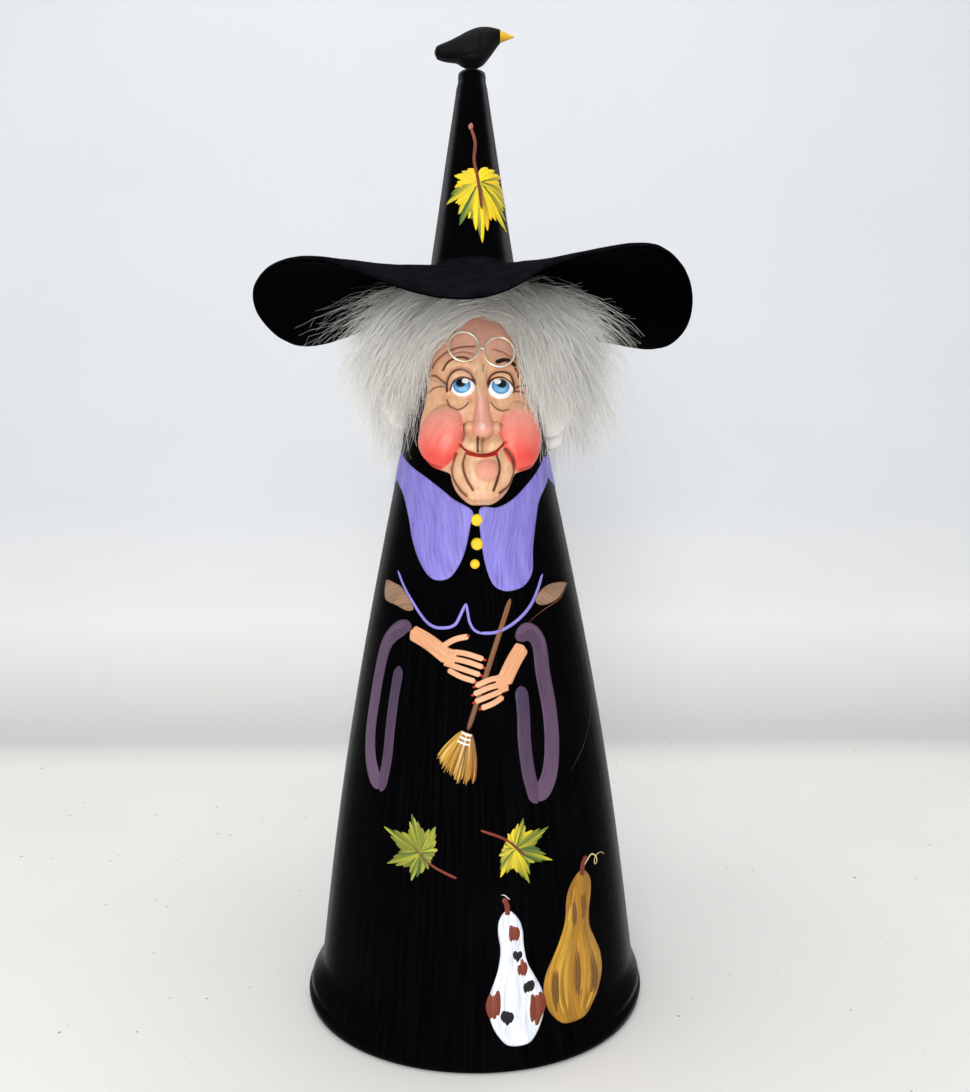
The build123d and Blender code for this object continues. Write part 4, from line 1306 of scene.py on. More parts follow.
def brushTree(material):
    # round strokes laid along their lines, then pressed flat on the surface under them
    tree, start, out, sockets = newTree("brushwork", {
        "Surface": ("Object", None), "Thickness": ("Float", 0.0002), "Sink": ("Float", 0.0001),
        "Ridge": ("Float", 0.0001)})
    given = start.outputs
    lines = addNode(tree, "GeometryNodeMeshToCurve", {0: given["Geometry"]}).outputs[0]
    place = fieldOf(tree, "InputPosition")
    lines = store(lines, "along", fieldOf(tree, "SplineParameter", "Length"))
    lines = store(lines, "centre", place, "FLOAT_VECTOR")
    lines = store(lines, "heading", fieldOf(tree, "InputTangent"), "FLOAT_VECTOR")
    ring = addNode(tree, "GeometryNodeCurvePrimitiveCircle", {"Resolution": 14, "Radius": 1.0})
    width = named(tree, "width")
    tubes = addNode(tree, "GeometryNodeCurveToMesh",
                    {0: lines, 1: ring.outputs[0], "Scale": width, "Fill Caps": True})
    under = addNode(tree, "GeometryNodeObjectInfo", {"Object": given["Surface"]}).outputs["Geometry"]
    near = addNode(tree, "GeometryNodeProximity", {0: under}, target_element="FACES").outputs["Position"]
    facing = addNode(tree, "GeometryNodeSampleNearestSurface", {0: under}, data_type="FLOAT_VECTOR")
    facing = vectorCalc("NORMALIZE", give(facing, {"Value": fieldOf(tree, "InputNormal")}).outputs[0])
    high = vectorCalc("DOT_PRODUCT", vectorCalc("SUBTRACT", place, near), facing)
    share = calc("DIVIDE", high, calc("MAXIMUM", width, 0.00005))
    side = vectorCalc("CROSS_PRODUCT", named(tree, "heading", "FLOAT_VECTOR"), facing)
    aside = vectorCalc("SUBTRACT", place, named(tree, "centre", "FLOAT_VECTOR"))
    tubes = store(tubes.outputs[0], "across", vectorCalc("DOT_PRODUCT", aside, side))
    tubes = store(tubes, "share", share)
    tubes = store(tubes, "near", near, "FLOAT_VECTOR")
    tubes = store(tubes, "facing", facing, "FLOAT_VECTOR")
    # the upper half of each tube becomes the paint's face, the lower half sinks into the weave
    share = named(tree, "share")
    above = calc("MAXIMUM", share, 0.0)
    upper = times(calc("POWER", above, 0.5), given["Thickness"])
    lower = times(calc("MINIMUM", share, 0.0), given["Sink"])
    lift = times(named(tree, "lift"), calc("MAXIMUM", calc("SIGN", share), 0.0))
    bristle = noiseAt(joined(times(named(tree, "along"), 160.0), times(named(tree, "across"), 2600.0)), 1.0, 1.0)
    bristle = times(bristle, given["Ridge"], above)
    total = plus(plus(upper, lower), plus(lift, bristle))
    raised = vectorCalc("SCALE", named(tree, "facing", "FLOAT_VECTOR"), scale=total)
    spot = vectorCalc("ADD", named(tree, "near", "FLOAT_VECTOR"), raised)
    pressed = addNode(tree, "GeometryNodeSetPosition", {0: tubes, "Position": spot}).outputs[0]
    finishTree(tree, pressed, material, out)
    return tree, sockets


def paintMaterial(name, rough):
    # the bristle marks run along each stroke, and the black shows through where the paint is thin
    material, shader, place = newMaterial(name)
    along, across = attributeOf(shader, "along"), attributeOf(shader, "across")
    coarse = noiseAt(joined(times(along, 90.0), times(across, 1500.0)), 1.0, 2.0)
    fine = noiseAt(joined(times(along, 300.0), times(across, 4200.0)), 1.0, 2.0)
    weave = noiseOf(place, 1400.0, 2)
    light = plus(rangeOf(coarse, 0.25, 0.75, 0.72, 1.18), rangeOf(fine, 0.25, 0.75, -0.08, 0.08))
    thin = times(rangeOf(coarse, 0.36, 0.26), rangeOf(weave, 0.45, 0.6), 0.55)
    give(shader, {"Base Color": mixColour(thin, paintOf(shader, light), (24, 20, 26)),
                  "Roughness": rangeOf(fine, 0.3, 0.7, rough - 0.07, rough + 0.1), "Specular IOR Level": 0.35,
                  "Normal": bumpOf(timesPlus(fine, 0.4, coarse), 0.00012, 0.7)})
    return material


def smoothWidths(count, wide, ends):
    # half widths along a stroke: round, pointed at its end, or a leaf shape
    t = np.linspace(0, 1, count)
    if ends == "round":
        shape = np.sqrt(np.clip(1 - np.clip((0.08 - np.minimum(t, 1 - t)) / 0.08, 0, 1) ** 2, 0.04, 1))
    elif ends == "pointed":
        shape = np.clip(t / 0.12, 0.3, 1) ** 0.5 * np.clip(1 - t, 0.0, 1) ** 0.55
    else:
        shape = np.sin(np.pi * np.clip(t * 0.94 + 0.05, 0, 1)) ** 0.7
    return np.maximum(shape * wide, 0.06)


def brushStroke(points, wide, colour, ends="round", lift=0.0, endColour=None):
    # points are across and up, as seen from the front
    line = smoothLine(points, 12)
    gaps = np.hypot(np.diff(line[:, 0]), np.diff(line[:, 1]))
    run = np.concatenate([[0], np.cumsum(gaps)])
    count = max(5, int(run[-1] / brushwork["pointStep"]) + 1)
    at = np.linspace(0, run[-1], count)
    first, second = np.interp(at, run, line[:, 0]), np.interp(at, run, line[:, 1])
    start, finish = toneOf(brushwork, colour), toneOf(brushwork, endColour or colour)
    share = np.linspace(0, 1, count)[:, None] ** 1.2
    return {"spots": [onGown(azimuthOf(a, z), z) for a, z in zip(first, second)],
            "widths": smoothWidths(count, wide, ends), "colours": start * (1 - share) + finish * share, "lift": lift}


def layStrokes(name, strokes):
    widths, colours, lifts = [], [], []
    for index, made in enumerate(strokes):
        widths += list(made["widths"] * metre)
        colours += list(made["colours"])
        lifts += [(made["lift"] + brushwork["overlap"] * index) * metre] * len(made["spots"])
    made = lineMesh(name, [one["spots"] for one in strokes])
    keepValues(made, "width", "FLOAT", widths)
    keepValues(made, "lift", "FLOAT", lifts)
    keepValues(made, "paint", "FLOAT_COLOR", colours)
    growWith(made, brushNodes, brushSockets, {
        "Surface": gownSkin, "Thickness": brushwork["thickness"] * metre, "Sink": brushwork["sink"] * metre,
        "Ridge": brushwork["ridge"] * metre})
    for extra in ("centre", "heading", "share", "near", "facing", "width", "lift"):
        if extra in made.data.attributes:
            made.data.attributes.remove(made.data.attributes[extra])
    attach(made, "figure")


def layPatches(name, patches):
    # filled shapes: outline in azimuth and height, radius of the cone there, two tones, the way the strokes run,
    # how much darker the edge is, then points per side and lift where they differ
    points, faces, colours, along, across = [], [], [], [], []
    for outline, radius, colour, second, turn, darker, *others in patches:
        steps, lift = others or (8, 0)
        outline = smoothLine(outline, steps, closed=True)
        wide = math.radians(radius)                # millimetres per degree of azimuth here
        flat = np.column_stack([outline[:, 0] * wide, outline[:, 1]])
        low, high = flat.min(0), flat.max(0)
        gx, gz = np.meshgrid(*(np.arange(low[axis], high[axis], brushwork["patchStep"]) for axis in (0, 1)))
        gx, gz = gx.ravel(), gz.ravel()
        ring = np.vstack([flat, flat[:1]])
        keep = isInside(gx, gz, flat) & (distanceTo(gx, gz, ring) > 0.3)
        inner = np.column_stack([gx[keep], gz[keep]])
        coords = [Vector(p) for p in np.vstack([flat, inner])]
        got = delaunay_2d_cdt(coords, [], [list(range(len(flat)))], 1, 1e-5)
        spots, triangles = np.array([tuple(p) for p in got[0]]), got[2]
        depth = distanceTo(spots[:, 0], spots[:, 1], ring)
        edgeShare = np.clip(depth / 0.5, 0, 1)
        turn = math.radians(turn)
        u = spots[:, 0] * math.cos(turn) + spots[:, 1] * math.sin(turn)
        v = -spots[:, 0] * math.sin(turn) + spots[:, 1] * math.cos(turn)
        v = v + 0.6 * np.sin(u * 0.21)
        ridge = np.sin(v * 5.1 + 1.1 * np.sin(u * 0.3)) * 0.5 + 0.5
        top = 0.03 + brushwork["thickness"] * np.sqrt(edgeShare) + brushwork["ridge"] * ridge * edgeShare + lift
        start = len(points)
        for layer in (top, np.full(len(spots), -brushwork["sink"])):
            for (s, z), up in zip(spots, layer):
                azimuth = math.radians(s / wide)
                out = Vector((math.sin(azimuth), -math.cos(azimuth), 0))
                hit = gownTree.ray_cast(out * 0.2 + Vector((0, 0, z * metre)), -out)
                points.append(hit[0] + hit[1].normalized() * up * metre)
        count = len(spots)
        used = {}
        for a, b, c in triangles:
            (bx, bz), (cx, cz) = spots[b] - spots[a], spots[c] - spots[a]
            if bx * cz < bz * cx:
                b, c = c, b
            faces.append((start + a, start + b, start + c))
            faces.append((start + count + c, start + count + b, start + count + a))
            for i, j in ((a, b), (b, c), (c, a)):
                if (j, i) in used:
                    del used[(j, i)]
                else:
                    used[(i, j)] = True
        for i, j in used:
            faces.append((start + j, start + i, start + count + i, start + count + j))
        mix = 0.5 + 0.5 * np.sin(v * 0.8 + 2.2 * np.sin(u * 0.13))
        mix = np.clip(mix * 0.5 + 0.5 * (1 - edgeShare) * darker, 0, 1)[:, None]
        colours += list(toneOf(brushwork, colour) * (1 - mix) + toneOf(brushwork, second) * mix) * 2
        along += list(u * metre) * 2
        across += list(v * metre) * 2
    made = makeObject(name, points, faces, brushPaint)
    keepValues(made, "paint", "FLOAT_COLOR", colours)
    keepValues(made, "along", "FLOAT", along)
    keepValues(made, "across", "FLOAT", across)
    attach(made, "figure")


def frontOutline(points):
    return [(math.degrees(azimuthOf(x, z)), z) for x, z in points]


# turn and length of a maple leaf's lobes, and the strokes that fill one: offset, reach and start
leafLobes = ((-138, 0.42), (138, 0.42), (-98, 0.74), (98, 0.74), (-48, 0.92), (48, 0.92), (0, 1.0))
lobeStrokes = ((-0.17, 0.62, 0.1), (0.17, 0.6, 0.1), (-0.1, 0.8, 0.0), (0.1, 0.78, 0.0), (0.0, 1.0, -0.05),
               (0.03, 0.9, -0.05))


def rayAt(angle):
    ray = np.array((math.sin(angle), math.cos(angle)))
    return ray, np.array((ray[1], -ray[0]))


def leafStrokes(middle, size, turn, tones, chance, lobes=leafLobes, stem=0.95):
    # a maple leaf: each lobe is a few loaded strokes that meet in a point
    strokes = []
    middle = np.array(middle, float)
    for bend, length in lobes:
        ray, cross = rayAt(math.radians(turn + bend + chance.uniform(-4, 4)))
        for offset, reach, start in lobeStrokes:
            first = middle + ray * size * start * length + cross * size * offset * 0.15
            last = middle + ray * size * length * reach + cross * size * offset * 0.9
            belly = middle + ray * size * length * reach * 0.55 + cross * size * offset * 0.75
            strokes.append(brushStroke([first, belly, last], size * 0.062, chance.choice(tones), "leaf", 0.0,
                                       chance.choice(tones)))
    if stem:
        ray, cross = rayAt(math.radians(turn + 180 + 14))
        line = [middle - ray * size * 0.35, middle + ray * size * 0.3 + cross * size * 0.06,
                middle + ray * size * stem - cross * size * 0.1]
        strokes.append(brushStroke(line, size * 0.036, "stem", "round", 0.05))
    return strokes


# a bottle gourd's half widths from foot to neck, as shares of its height and width
gourdShape = ((0.0, 0.30), (0.05, 0.62), (0.14, 0.88), (0.26, 1.0), (0.38, 0.92), (0.5, 0.68), (0.6, 0.48),
              (0.72, 0.42), (0.84, 0.44), (0.93, 0.36), (1.0, 0.12))


def gourdSide(foot, high, wide, lean, share, t):
    half = np.interp(t, *zip(*gourdShape)) * wide
    return (foot[0] + lean * t * t + share * half, foot[1] + high * t)


def gourdOutline(foot, high, wide, lean):
    steps = [a for a, b in gourdShape]
    right = [gourdSide(foot, high, wide, lean, 1, t) for t in steps]
    left = [gourdSide(foot, high, wide, lean, -1, t) for t in reversed(steps)]
    return right + left


def gourdStrokes(foot, high, wide, lean, tones, marks, markTones, chance, lift):
    # long strokes that follow the gourd's side, then its blotches and stalk
    strokes = []
    for index in range(15):
        share = ((index * 0.618) % 1.0 * 2 - 1) * 0.86
        low, top = chance.uniform(0.03, 0.25), chance.uniform(0.55, 0.97)
        path = [gourdSide(foot, high, wide, lean, share, low + (top - low) * k / 5) for k in range(6)]
        strokes.append(brushStroke(path, wide * 0.1, chance.choice(tones), "leaf", lift, chance.choice(tones)))
    for t, share, long, broad, tone in marks:
        spot = np.array(gourdSide(foot, high, wide, lean, share, t))
        for offset in (-0.55, 0.5, 0.0):
            reach = long * chance.uniform(0.75, 1.05) * (1 - 0.25 * abs(offset))
            middle = spot + (offset * broad, chance.uniform(-0.2, 0.2) * long)
            paint = markTones[tone] if offset else markTones[tone + 1]
            strokes.append(brushStroke([middle - (0.2, reach), middle + (share * reach * 0.14, 0),
                                        middle + (-0.2, reach)],
                                       broad * 0.62, markTones[tone], "leaf", lift + 0.06, paint))
    neck = np.array(gourdSide(foot, high, wide, lean, 0, 1.0))
    stalk = [neck - (0, 1.5), neck + (lean * 0.1, 2.2), neck + (lean * 0.5, 4.6)]
    strokes.append(brushStroke(stalk, wide * 0.1, "stem", "round", lift + 0.08))
    return strokes


def tendril(start, size, turns, direction, colour):
    points = []
    for step in range(14):
        t = step / 13
        angle = direction * (math.pi / 2 - t * turns * 2 * math.pi)
        radius = size * (1 - 0.75 * t)
        points.append((start[0] + direction * size * (0.9 + 1.6 * t) + radius * math.cos(angle) * 0.6 * direction,
                       start[1] + size * 0.3 * t + radius * math.sin(angle) * direction * 0.8))
    return brushStroke([start] + points, 0.28, colour, "pointed", 0.05)


def handStrokes(wrist, palm, fingers, side):
    # a forearm, a palm and fingers closed round the handle
    middle = ((wrist[0] + palm[0]) / 2, (wrist[1] + palm[1]) / 2 + 0.8)
    back = [(palm[0] - side * 1.5, palm[1] + 0.6), (palm[0] + side * 2.5, palm[1] - 0.6)]
    strokes = [brushStroke([wrist, middle, palm], 2.9, "skin", "round", 0.05),
               brushStroke(back, 3.3, "skin", "round", 0.07)]
    for bottom, bend, tip in fingers:
        strokes.append(brushStroke([bottom, bend, tip], 1.02, "skin", "round", 0.12, "skinLight"))
        below = [(bottom[0], bottom[1] - 0.95), (bend[0], bend[1] - 0.95)]
        strokes.append(brushStroke(below, 0.16, "skinDark", "pointed", 0.16))
        nail = np.array(tip) + (np.array(tip) - np.array(bend)) * 0.08
        ends = [nail - np.array((side * 0.7, 0.1)), nail + np.array((side * 0.5, -0.1))]
        strokes.append(brushStroke(ends, 0.55, "nail", "leaf", 0.22))
    return strokes


def strokesOf(rows):
    return [brushStroke(*row) for row in rows]


brushPaint = paintMaterial("brushPaint", 0.44)
brushNodes, brushSockets = brushTree(brushPaint)
chance = random.Random(5)

collarLeft = [(-28.6, 213.0), (-30.2, 205.2), (-26.9, 196.8), (-24.2, 187.7), (-22.6, 179.4), (-19.7, 171.2),
              (-15.5, 165.4), (-10.4, 164.8), (-6.8, 167.6), (-3.4, 174.3), (-1.2, 184.0), (-0.5, 189.6),
              (-7.2, 193.8), (-12.8, 198.4), (-20.4, 204.4)]
collarRight = [(2.3, 190.4), (8.5, 190.8), (14.0, 193.6), (19.8, 199.2), (25.2, 206.0), (27.6, 210.6),
               (28.9, 203.6), (25.3, 194.5), (23.6, 187.7), (21.9, 176.3), (21.5, 167.6), (18.8, 162.9),
               (14.9, 161.0), (10.5, 160.8), (6.6, 163.4), (3.9, 171.1), (2.3, 181.9)]
collarBack = [(-64, 210.0), (-82, 212.6), (-100, 213.5), (-140, 212.0), (-180, 211.0), (-220, 212.0),
              (-258, 213.0), (-278, 212.0), (-295, 209.0), (-292, 202.0), (-262, 198.0), (-225, 194.0),
              (-184, 192.0), (-181, 196.5), (-176, 192.0), (-135, 194.0), (-98, 198.0), (-67, 203.0)]
layPatches("paintedCollar", [
    (frontOutline(collarLeft), 34, "lavender", "lavenderDark", 103, -0.6),
    (frontOutline(collarRight), 34, "lavender", "lavenderDark", 82, -0.6),
    (collarBack, 30, "lavender", "lavenderDark", 8, -0.6, 12, 0),
])
patchLeft = [(-33.2, 163.6), (-29.4, 163.0), (-26.1, 161.2), (-21.9, 154.9), (-24.0, 153.3), (-28.6, 155.0),
             (-33.4, 157.0)]
patchRight = [(35.2, 162.1), (30.0, 162.6), (25.8, 161.2), (23.1, 158.5), (22.6, 156.2), (25.3, 154.9),
              (30.6, 156.1), (34.0, 159.2)]
layPatches("elbowPatches", [
    (frontOutline(patchLeft), 39, "tan", "tanDark", 20, 0.3),
    (frontOutline(patchRight), 39, "tan", "tanDark", 160, 0.3),
])

collarTrim = strokesOf([
    ([(-25.6, 205.6), (-26.8, 203.6), (-25.0, 202.2), (-23.8, 203.4)], 0.45, "lavenderDark", "round", 0.12),
    ([(-23.6, 187.0), (-21.6, 178.0), (-18.2, 170.6), (-14.2, 166.4)], 0.4, "lavenderDark", "pointed", 0.12),
    ([(22.8, 186.0), (20.8, 176.4), (20.4, 168.4)], 0.4, "lavenderDark", "pointed", 0.12),
    ([(-28.4, 168.0), (-25.4, 161.6), (-21.0, 154.7), (-17.2, 149.9), (-13.9, 148.0), (-11.0, 147.8),
      (-8.4, 148.2), (-6.3, 149.6), (-4.4, 153.4), (-2.9, 156.6)], 0.58, "lavender", "round", 0.04),
    ([(-2.9, 156.6), (-2.3, 153.6), (-1.6, 150.0), (0.0, 147.2), (2.6, 145.9)], 0.5, "lavender", "round", 0.04),
    ([(1.6, 146.0), (8.2, 146.4), (14.8, 149.7), (20.0, 154.7), (23.1, 160.3),
      (25.2, 166.2)], 0.6, "lavender", "round", 0.04),
])
fineLines = strokesOf([
    ([(-33.4, 156.9), (-30.4, 154.7), (-27.0, 150.3)], 0.22, "rust", "pointed"),
    ([(35.2, 162.1), (31.9, 156.7), (25.3, 153.3), (20.3, 149.8), (18.8, 147.4)], 0.22, "rust", "pointed"),
    ([(36.2, 158.0), (41.4, 138.0), (44.0, 117.3), (40.2, 104.0), (34.4, 95.9)], 0.2, (58, 40, 36), "pointed"),
    ([(-38.0, 150.0), (-42.6, 132.0), (-45.4, 112.0)], 0.2, (52, 38, 36), "pointed"),
])
buttons = []
for x, z, size in ((1.2, 186.2, 2.2), (1.2, 177.6, 2.2), (0.4, 170.4, 1.7)):
    ring = [(x + size * math.cos(turn), z + size * math.sin(turn)) for turn in np.linspace(0, 2 * math.pi, 11)[:-1]]
    buttons.append((frontOutline(ring), 36, "button", "buttonDark", 30, 0.9, 8, 0.12))
layPatches("paintedButtons", buttons)
layStrokes("collarTrim", collarTrim + fineLines)

sleeves = strokesOf([
    ([(-22.6, 147.2), (-25.4, 147.4), (-29.4, 144.8), (-32.6, 140.4), (-34.8, 132.7), (-36.9, 121.1),
      (-38.6, 108.7), (-38.2, 98.4), (-35.0, 89.6)], 3.3, "plum", "round", 0.0, "plumLight"),
    ([(-25.0, 148.6), (-30.4, 145.6), (-33.4, 139.0)], 1.6, "plumLight", "pointed", 0.05),
    ([(-27.1, 133.4), (-29.0, 122.7), (-30.4, 111.8), (-31.6, 100.2),
      (-34.0, 89.0)], 2.4, "plumDark", "round", 0.0, "plum"),
    ([(14.9, 143.6), (19.5, 146.0), (23.4, 141.7), (24.8, 131.0), (27.0, 118.2), (27.7, 106.8), (26.6, 96.3),
      (22.4, 87.6)], 3.4, "plum", "round", 0.0, "plumLight"),
    ([(15.2, 145.2), (19.6, 147.8), (24.0, 144.0), (26.0, 136.0)], 1.5, "plumLight", "pointed", 0.05),
    ([(16.4, 127.2), (17.2, 118.3), (17.5, 108.0), (18.8, 97.4),
      (21.6, 86.8)], 2.6, "plumDark", "round", 0.0, "plum"),
])
layStrokes("paintedSleeves", sleeves)

broom = {
    "foot": (-2.6, 112.0), "down": (-0.32, -0.947), "bristles": 34, "fan": 20, "length": 25.0,
    "tones": ("straw", "strawDark", (216, 168, 62), (150, 96, 28), (232, 206, 140)),
    "endTones": ("straw", "strawDark", (222, 178, 70)),
    "bands": ((0.4, 2.3), (2.0, 2.5), (3.6, 2.8)),      # how far down, and half width
}


def broomStrokes(chance):
    # a handle, a fan of bristles and the bands that bind them
    strokes = strokesOf([
        ([(13.0, 158.0), (5.6, 136.0), (-2.4, 112.6)], 0.95, (132, 84, 44), "round", 0.02, (104, 60, 30)),
        ([(12.6, 157.0), (5.2, 135.4), (-2.0, 113.8)], 0.3, (190, 140, 88), "pointed", 0.08)])
    foot, down = np.array(broom["foot"]), np.array(broom["down"])
    side = np.array((-down[1], down[0]))
    for index in range(broom["bristles"]):
        share = (index * 0.618) % 1 * 2 - 1
        spread = math.radians(share * broom["fan"])
        ray = np.array((down[0] * math.cos(spread) - down[1] * math.sin(spread),
                        down[0] * math.sin(spread) + down[1] * math.cos(spread)))
        length = broom["length"] - 4.5 * share * share + chance.uniform(-2.0, 1.5)
        root = foot + side * share * 1.9
        line = [root, root + ray * length * 0.45 + side * share * 1.4, root + ray * length]
        tone = chance.choice(broom["tones"])
        strokes.append(brushStroke(line, 0.62, tone, "pointed", 0.04 + 0.002 * index,
                                   chance.choice(broom["endTones"])))
    for drop, wide in broom["bands"]:
        spot = foot + down * drop
        band = [spot - side * wide, spot + down * 0.35, spot + side * wide]
        strokes.append(brushStroke(band, 0.5, "white", "round", 0.2))
    return strokes


layStrokes("paintedBroom", broomStrokes(chance))

hands = handStrokes((-22.8, 146.0), (-9.0, 137.4), [
    ((-8.0, 139.6), (-3.0, 139.0), (3.4, 137.0)), ((-8.4, 137.4), (-2.6, 136.2), (3.2, 134.2)),
    ((-8.8, 135.2), (-3.2, 133.4), (2.2, 131.6)), ((-9.4, 133.4), (-4.6, 131.0), (0.4, 129.4))], 1)
hands += handStrokes((17.4, 141.2), (10.2, 128.6), [
    ((9.8, 130.4), (5.8, 130.0), (0.2, 127.8)), ((9.6, 128.2), (5.2, 127.2), (-0.4, 125.0)),
    ((9.8, 126.0), (5.4, 124.4), (0.0, 122.4)), ((10.2, 124.0), (6.6, 121.8), (2.2, 120.2))], -1)
hands.append(brushStroke([(-12.4, 140.6), (-7.0, 143.8), (-1.8, 145.0)], 1.1, "skin", "round", 0.14, "skinLight"))
hands.append(brushStroke([(-3.0, 145.1), (-1.4, 145.2)], 0.55, "nail", "leaf", 0.24))
layStrokes("paintedHands", hands)

leaves = leafStrokes((-18.6, 71.0), 15.5, -66, ("leafOlive", "leafGreen", "leafOlive", (176, 174, 52)), chance)
leaves += leafStrokes((13.6, 72.5), 14.5, 112, ("leafYellow", (206, 190, 40), "leafOlive", "leafGreen"), chance)
layStrokes("paintedLeaves", leaves)

hatLobes = ((-118, 0.44), (112, 0.42), (-66, 0.66), (62, 0.6), (-28, 0.84), (27, 0.76), (0, 1.0))
hatTones = ("leafYellow", (252, 196, 30), (240, 214, 24), "leafYellow", (206, 190, 40), "leafGreen")
hatLeaf = leafStrokes((2.6, 315.0), 24.0, 176, hatTones, chance, hatLobes, None)
hatLeaf.append(brushStroke([(3.6, 304.0), (2.2, 316.0), (0.8, 324.0), (1.2, 331.0), (-0.4, 337.4)], 0.62, "stem",
                           "round", 0.2, (128, 64, 44)))
hatLeaf.append(brushStroke([(-0.6, 336.4), (-0.2, 339.0)], 1.0, (168, 104, 84), "leaf", 0.22))
layStrokes("paintedHatLeaf", hatLeaf)

whiteGourd = ((14.0, 9.0), 43.0, 9.6, -3.0)
goldGourd = ((34.0, 12.0), 48.0, 11.2, 4.0)
layPatches("gourdBodies", [
    (frontOutline(gourdOutline(*whiteGourd)), 58, "white", "whiteShade", 88, 0.4, 5, 0),
    (frontOutline(gourdOutline(*goldGourd)), 58, "gold", "goldDark", 92, 0.6, 5, 0.05)])
gourds = gourdStrokes(*whiteGourd, ("white", (204, 212, 226), (226, 228, 234)),
                      ((0.3, -0.78, 5.2, 2.4, 0), (0.24, 0.72, 6.0, 2.6, 0), (0.56, 0.5, 3.0, 1.7, 0),
                       (0.84, 0.3, 3.4, 1.8, 0), (0.42, 0.55, 2.4, 1.9, 2),
                       (0.2, -0.35, 2.8, 2.1, 2), (0.66, 0.35, 2.0, 1.6, 2)),
                       ("russet", (142, 70, 42), (8, 8, 10), (8, 8, 10)), chance, 0.1)
gourds += gourdStrokes(*goldGourd, ("gold", (188, 138, 34), (150, 104, 26), (204, 158, 52)),
                       ((0.28, -0.6, 8.0, 1.3, 0), (0.3, 0.1, 9.0, 1.1, 0), (0.27, 0.66, 7.0, 1.4, 0),
                        (0.74, -0.3, 5.0, 0.9, 0), (0.76, 0.4, 4.6, 0.9, 0)),
                       ("goldDark", (136, 84, 26)), chance, 0.14)
gourds.append(tendril((12.6, 55.0), 3.2, 1.5, -1, "white"))
gourds.append(tendril((39.0, 62.0), 3.0, 1.4, 1, (230, 214, 150)))
layStrokes("paintedGourds", gourds)
print("gown is painted")


boardTones = ((196, 168, 128), (160, 128, 88))
plugTones = ((190, 160, 120), (150, 118, 80))


def finishNode(label, material):
    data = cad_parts[label].data
    data.materials.clear()
    data.materials.append(material)


# plain finishes: noise (scale, detail, roughness, stretch), its span, two tones, roughness and the rest
plainFinishes = {
    "brassWire": ((500.0, 3, 0.5, (1, 1, 1)), (0.4, 0.65), (255, 253, 244), (240, 222, 184), (0.3, 0.5),
                  {"Metallic": 0.7}, (0.00003, 0.4)),
    "yellowClay": ((900.0, 3, 0.6, (0.3, 1, 1)), (0.35, 0.7), (238, 196, 30), (205, 150, 20), 0.45, {},
                   (0.00008, 0.5)),
    "greyCard": ((700.0, 4, 0.5, (1, 1, 1)), (0.35, 0.7), (150, 140, 124), (176, 166, 150), 0.9, {}, (0.0001, 0.4)),
    "steelWire": ((2000.0, 2, 0.5, (1, 1, 0.05)), (0, 1), (150, 150, 152), (190, 190, 192), (0.25, 0.4),
                  {"Metallic": 1.0}, None),
}


def plainFinish(name):
    noise, span, light, dark, rough, others, bump = plainFinishes[name]
    material, shader, place = newMaterial(name)
    wear = noiseOf(place, *noise)
    if isinstance(rough, tuple):
        rough = rangeOf(wear, 0.3, 0.7, *rough)
    give(shader, {"Base Color": mixColour(rangeOf(wear, *span), light, dark), "Roughness": rough, **others,
                  "Normal": bumpOf(wear, *bump) if bump else None})
    return material


def blackClay():
    material, shader, place = newMaterial("blackClay")
    thumb = noiseOf(place, 260.0, 3, 0.6, (0.5, 1, 1))
    grain = noiseOf(place, 1800.0, 3)
    give(shader, {"Base Color": mixColour(rangeOf(thumb, 0.4, 0.7), (5, 5, 6), (14, 13, 14)),
                  "Roughness": rangeOf(grain, 0.3, 0.7, 0.5, 0.68), "Specular IOR Level": 0.1,
                  "Normal": bumpOf(grain, 0.0001, 0.4, bumpOf(thumb, 0.0006, 0.5))})
    return material


def wood(name, light, dark, paintedAbove=None):
    # rings of growth; the plug is painted black above the rim of the canvas
    material, shader, place = newMaterial(name)
    wavy = noiseOf(place, 30.0, 3, 0.5, (1, 6, 1))
    base = mixColour(rangeOf(calc("SINE", times(wavy, 70.0)), -1, 1, 0, 0.6), light, dark)
    if paintedAbove is not None:
        base = mixColour(rangeOf(parted(place)["Z"], paintedAbove - 0.0003, paintedAbove), base, (12, 12, 13))
    give(shader, {"Base Color": base, "Roughness": 0.7, "Normal": bumpOf(wavy, 0.0003, 0.3)})
    return material


crow = {
    # places along the bird from tail to throat: x, underside, top, half width
    "rings": ((-14.7, 6.3, 7.2, 0.6), (-14.4, 5.7, 8.2, 1.6), (-13.6, 4.9, 9.1, 2.4), (-12.1, 4.3, 9.8, 2.9),
              (-10.0, 3.8, 10.6, 3.3), (-7.9, 3.6, 11.4, 3.8), (-6.2, 3.3, 12.2, 4.2), (-4.6, 2.2, 13.0, 4.5),
              (-3.0, 1.0, 13.9, 4.8), (-1.4, 0.25, 14.7, 4.95), (0.0, 0.1, 15.3, 5.05), (1.4, 0.3, 15.8, 5.1),
              (3.2, 1.4, 16.2, 5.1), (5.0, 2.9, 16.3, 5.0), (6.9, 5.2, 16.2, 4.6), (8.6, 7.4, 15.9, 4.0),
              (10.0, 9.3, 15.6, 3.3), (11.1, 10.5, 15.4, 2.6), (11.5, 10.9, 15.2, 2.3)),
    "wing": 0.55, "around": 72, "along": 120,
}


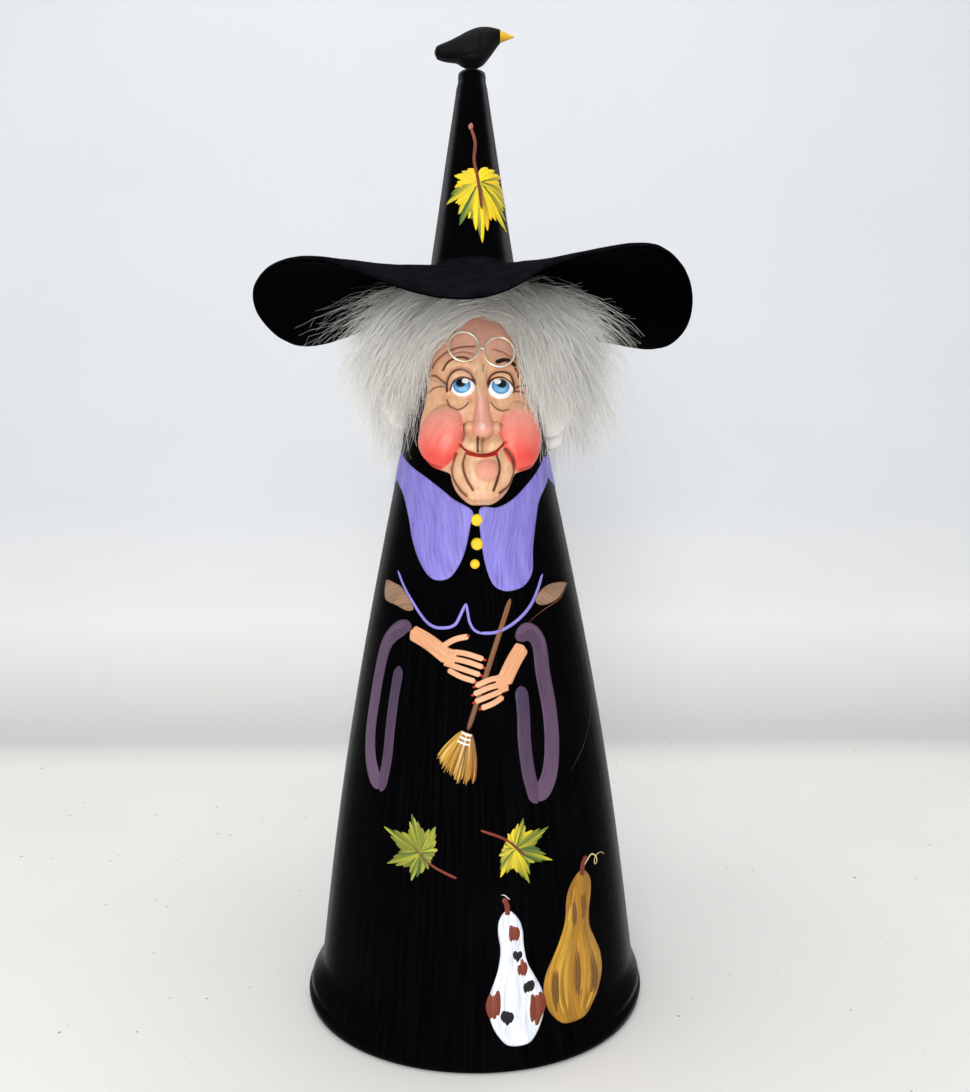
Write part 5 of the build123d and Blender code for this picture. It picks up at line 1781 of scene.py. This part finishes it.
def makeCrow(material):
    # one pinched lump of clay: flat tail, folded wings, full breast down to the foot
    rings = np.array(crow["rings"])
    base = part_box("crow_body")[0].z / metre
    ends = np.linspace(0, math.pi, crow["along"])
    places = rings[0, 0] + (rings[-1, 0] - rings[0, 0]) * (1 - np.cos(ends)) / 2
    lines = [smoothLine(rings[:, [0, column]], 8) for column in (1, 2, 3)]
    points = []
    count = crow["around"]
    for x in places:
        under, over, wide = (float(np.interp(x, one[:, 0], one[:, 1])) for one in lines)
        rim = math.sqrt(max(0.0, min(1.0, (x - places[0]) / 0.8, (places[-1] - x) / 0.3)))
        middle, half = (under + over) / 2, (over - under) / 2 * (0.12 + 0.88 * rim)
        for index in range(count):
            turn = 2 * math.pi * index / count
            side, up = math.cos(turn), math.sin(turn)
            z = middle + half * math.copysign(abs(up) ** 0.92, up)
            edge = 3.3 + 0.05 * (x + 12) + 0.9 * smoothStep(-5.0, 3.0, x)
            wing = crow["wing"] * smoothStep(edge - 0.3, edge + 0.5, z) * smoothStep(4.4, 2.2, x)
            wing = wing * smoothStep(over, over - 2.4, z)
            neck = 1 - 0.55 * smoothStep(3.2, 0.2, z) * smoothStep(-6.5, -3.0, x)
            y = (wide * (0.12 + 0.88 * rim) * neck * abs(side) ** 0.9 + wing * rim) * math.copysign(1, side)
            y = y if abs(side) > 1e-6 else 0.0
            points.append((x, y, base + z))
    faces = ringFaces(len(places), count)
    faces.append(tuple(reversed(range(count))))
    faces.append(tuple((len(places) - 1) * count + i for i in range(count)))
    made = makeObject("crowFigure", np.array(points) * metre, faces, material)
    faceOutwards(made)
    return made


crowFigure = makeCrow(blackClay())
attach(crowFigure, "crow")
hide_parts("crow_body")
for label, finish in (("spectacles", "brassWire"), ("crow_beak", "yellowClay"), ("crow_pin", "steelWire"),
                      ("core_cone", "greyCard")):
    finishNode(label, plainFinish(finish))
finishNode("base_board", wood("boardWood", *boardTones))
finishNode("tip_plug", wood("plugWood", *plugTones, (coneTop - 0.4) * metre))
print("small pieces are finished")


shown = [made for made in scene.objects if made.type == "MESH" and not made.hide_render]
print(sum(len(p.vertices) - 2 for made in shown for p in made.data.polygons), "triangles in all")
